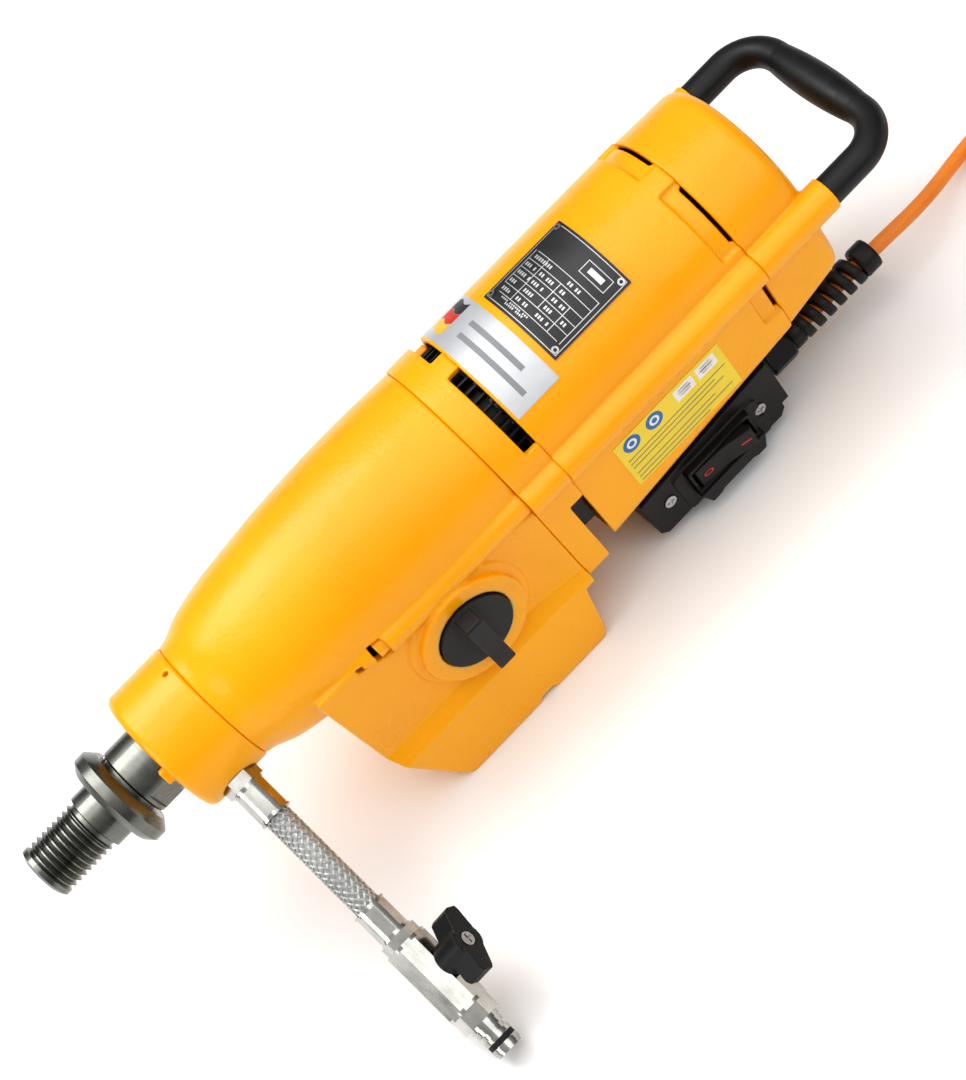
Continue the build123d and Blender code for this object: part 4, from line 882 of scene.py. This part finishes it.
def copper_wire(name="copper_wire"):
    n = Nodes(name)
    lines = n.waves(620, n.scaled((1, 0.5, 0.5)), "X", 1.5)
    base = n.mix(lines, (0.42, 0.13, 0.04), (0.80, 0.33, 0.12))
    rough = n.remap(n.noise(70), 0.3, 0.7, 0.25, 0.4)
    return n.finish(base, rough, 1.0, n.bump(lines, 0.2, 0.8), Coat_Weight=0.5)


def circuit(name="solder_mask"):
    n = Nodes(name)
    tracks = n.remap(n.cells(260, n.scaled((1, 1, 0.2))), 0.30, 0.34)
    base = n.mix(tracks, (0.01, 0.10, 0.04), (0.03, 0.22, 0.09))
    return n.finish(base, n.remap(n.noise(50), 0.3, 0.7, 0.3, 0.45), 0.0, n.bump(tracks, 0.03, 0.6))


FINISHES = {
    "yellow_casting": paint(),
    "aluminium_part": plain_metal("die_cast_aluminium", (0.62, 0.63, 0.64), (0.46, 0.47, 0.48), 0.42,
                                  bump_mm=0.03),
    "black_plastic": moulded("black_plastic", (0.0045, 0.0045, 0.005), 0.44, spec=0.38),
    "black_rubber": moulded("black_rubber", (0.006, 0.006, 0.0065), 0.6, 900, 0.05, 2.2, spec=0.4),
    "nickel_brass": plain_metal("nickel_plate", (0.60, 0.59, 0.55), (0.40, 0.40, 0.37), 0.17,
                                (1, 0.25, 0.25), 300, 0.012),
    "braid": plain_metal("braid_wire", (0.74, 0.75, 0.72), (0.55, 0.56, 0.54), 0.36, (1, 1, 1), 900, 0.01),
    "zinc_steel": plain_metal("zinc_plate", (0.60, 0.60, 0.60), (0.42, 0.42, 0.43), 0.28, (1, 1, 1), 700,
                              0.015),
    "dark_steel": turned_steel("blackened_steel", (0.24, 0.245, 0.22), (0.15, 0.155, 0.14), 0.27),
    "gear_steel": plain_metal("gear_steel", (0.42, 0.42, 0.44), (0.25, 0.25, 0.26), 0.32, (0.05, 1, 1), 900,
                              0.02),
    "bright_steel": plain_metal("ground_steel", (0.62, 0.62, 0.63), (0.45, 0.45, 0.46), 0.22,
                                (1, 0.02, 0.02), 1500, 0.01),
    "laminations": sheet_stack(),
    "copper": copper_wire(),
    "carbon": moulded("pressed_carbon", (0.02, 0.02, 0.021), 0.55, 2200, 0.03),
    "circuit_board": circuit(),
    "black_plate": printed("black_enamel", (0.012, 0.012, 0.013), (0.02, 0.02, 0.021), 0.36),
    "silver_label": printed("silver_film", (0.60, 0.61, 0.62), (0.52, 0.53, 0.55), 0.34, 0.35),
    "yellow_label": printed("yellow_film", (0.90, 0.68, 0.035), (0.86, 0.63, 0.03), 0.33),
    "orange_cable": cable_jacket(),
}
clear_hose = moulded("clear_hose", (0.42, 0.43, 0.43), 0.35, 900, 0.02, 1.3)
white_film = printed("white_film", (0.85, 0.85, 0.83), (0.80, 0.80, 0.79), 0.38)
blue_film = printed("blue_film", (0.015, 0.16, 0.42), (0.012, 0.13, 0.36), 0.36)
gold_film = printed("gold_film", (0.80, 0.50, 0.03), (0.72, 0.44, 0.03), 0.38)
red_film = printed("red_film", (0.62, 0.03, 0.015), (0.54, 0.025, 0.012), 0.38)
grey_film = printed("grey_film", (0.30, 0.27, 0.10), (0.24, 0.22, 0.09), 0.4)
stone_film = printed("stone_film", (0.26, 0.27, 0.28), (0.22, 0.23, 0.24), 0.4)
silver_print = printed("silver_print", (0.62, 0.62, 0.62), (0.55, 0.55, 0.55), 0.35, 0.4)
OWN = {"hose_core": clear_hose, "nameplate_print": silver_print, "label_red": red_film,
       "label_gold": gold_film, "label_grey": stone_film, "sticker_white": white_film,
       "sticker_blue": blue_film, "sticker_marks": white_film, "sticker_lines": grey_film,
       "sticker_red": red_film, "rocker_marks": red_film}
PAINTED_OVER = ("gearbox_screws",)  # enamelled together with the casting


def dress(obj, material):
    if obj.material_slots:
        for place in obj.material_slots:
            place.material = material
    else:
        obj.data.materials.append(material)


for node, obj in NODES.items():
    dress(obj, FINISHES["yellow_casting" if node in PAINTED_OVER else SLOT_OF[node]])
for obj in bpy.data.objects:
    if obj.type in ("MESH", "CURVE") and "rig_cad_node" not in obj and "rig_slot" in obj:
        dress(obj, OWN.get(obj.name, FINISHES[obj["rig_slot"]]))


# ---------------------------------------------------------------- floor, light
def make_floor():
    build = Build()
    half, below = 14, 0.0004
    corners = ((-half, -half), (half, -half), (half, half), (-half, half))
    build.verts = [Vector((x, y, -below)) for x, y in corners]
    build.faces = [(0, 1, 2, 3)]
    floor = bpy.data.objects.new("floor", build.mesh("floor", smooth=False))
    bpy.context.scene.collection.objects.link(floor)
    n = Nodes("pale_floor")
    base = n.mix(n.remap(n.noise(2.0, 3), 0.3, 0.7), (0.90, 0.90, 0.90), (0.93, 0.93, 0.93))
    floor.data.materials.append(n.finish(base, 0.75, 0.0, n.bump(n.noise(500, 2), 0.05, 0.3)))


def soft_light(name, place, target, size, power):
    light = bpy.data.lights.new(name, "AREA")
    light.shape, light.size, light.energy = "SQUARE", size, power
    obj = bpy.data.objects.new(name, light)
    obj.location = place
    obj.rotation_euler = (Vector(target) - Vector(place)).to_track_quat("-Z", "Y").to_euler()
    bpy.context.scene.collection.objects.link(obj)


make_floor()
soft_light("key", (-0.5, 0.9, 1.9), (0, 0, 0.05), 1.2, 20)
soft_light("fill", (0.9, -1.6, 1.5), (0, 0, 0.08), 1.6, 10)
soft_light("top", (0.2, -0.2, 2.4), (0, 0, 0.05), 2.0, 21)
soft_light("nose", (-1.9, -0.4, 0.9), (-0.1, 0, 0.1), 1.0, 8)


def make_world():
    """Studio surroundings: bright overhead, dark towards the horizon."""
    world = bpy.data.worlds.new("studio")
    world.use_nodes = True
    tree = world.node_tree
    direction = tree.nodes.new("ShaderNodeTexCoord").outputs["Generated"]
    parts = tree.nodes.new("ShaderNodeSeparateXYZ")
    tree.links.new(direction, parts.inputs[0])
    rise = tree.nodes.new("ShaderNodeMapRange")
    for key, number in (("From Min", 0.0), ("From Max", 1.0), ("To Min", 0.10), ("To Max", 0.60)):
        rise.inputs[key].default_value = number
    tree.links.new(parts.outputs["Z"], rise.inputs["Value"])
    background = tree.nodes["Background"]
    background.inputs["Color"].default_value = (1.0, 1.0, 1.0, 1.0)
    tree.links.new(rise.outputs["Result"], background.inputs["Strength"])
    bpy.context.scene.world = world


make_world()
bpy.context.scene.view_settings.view_transform = "Standard"
bpy.context.scene.view_settings.look = "Medium High Contrast"
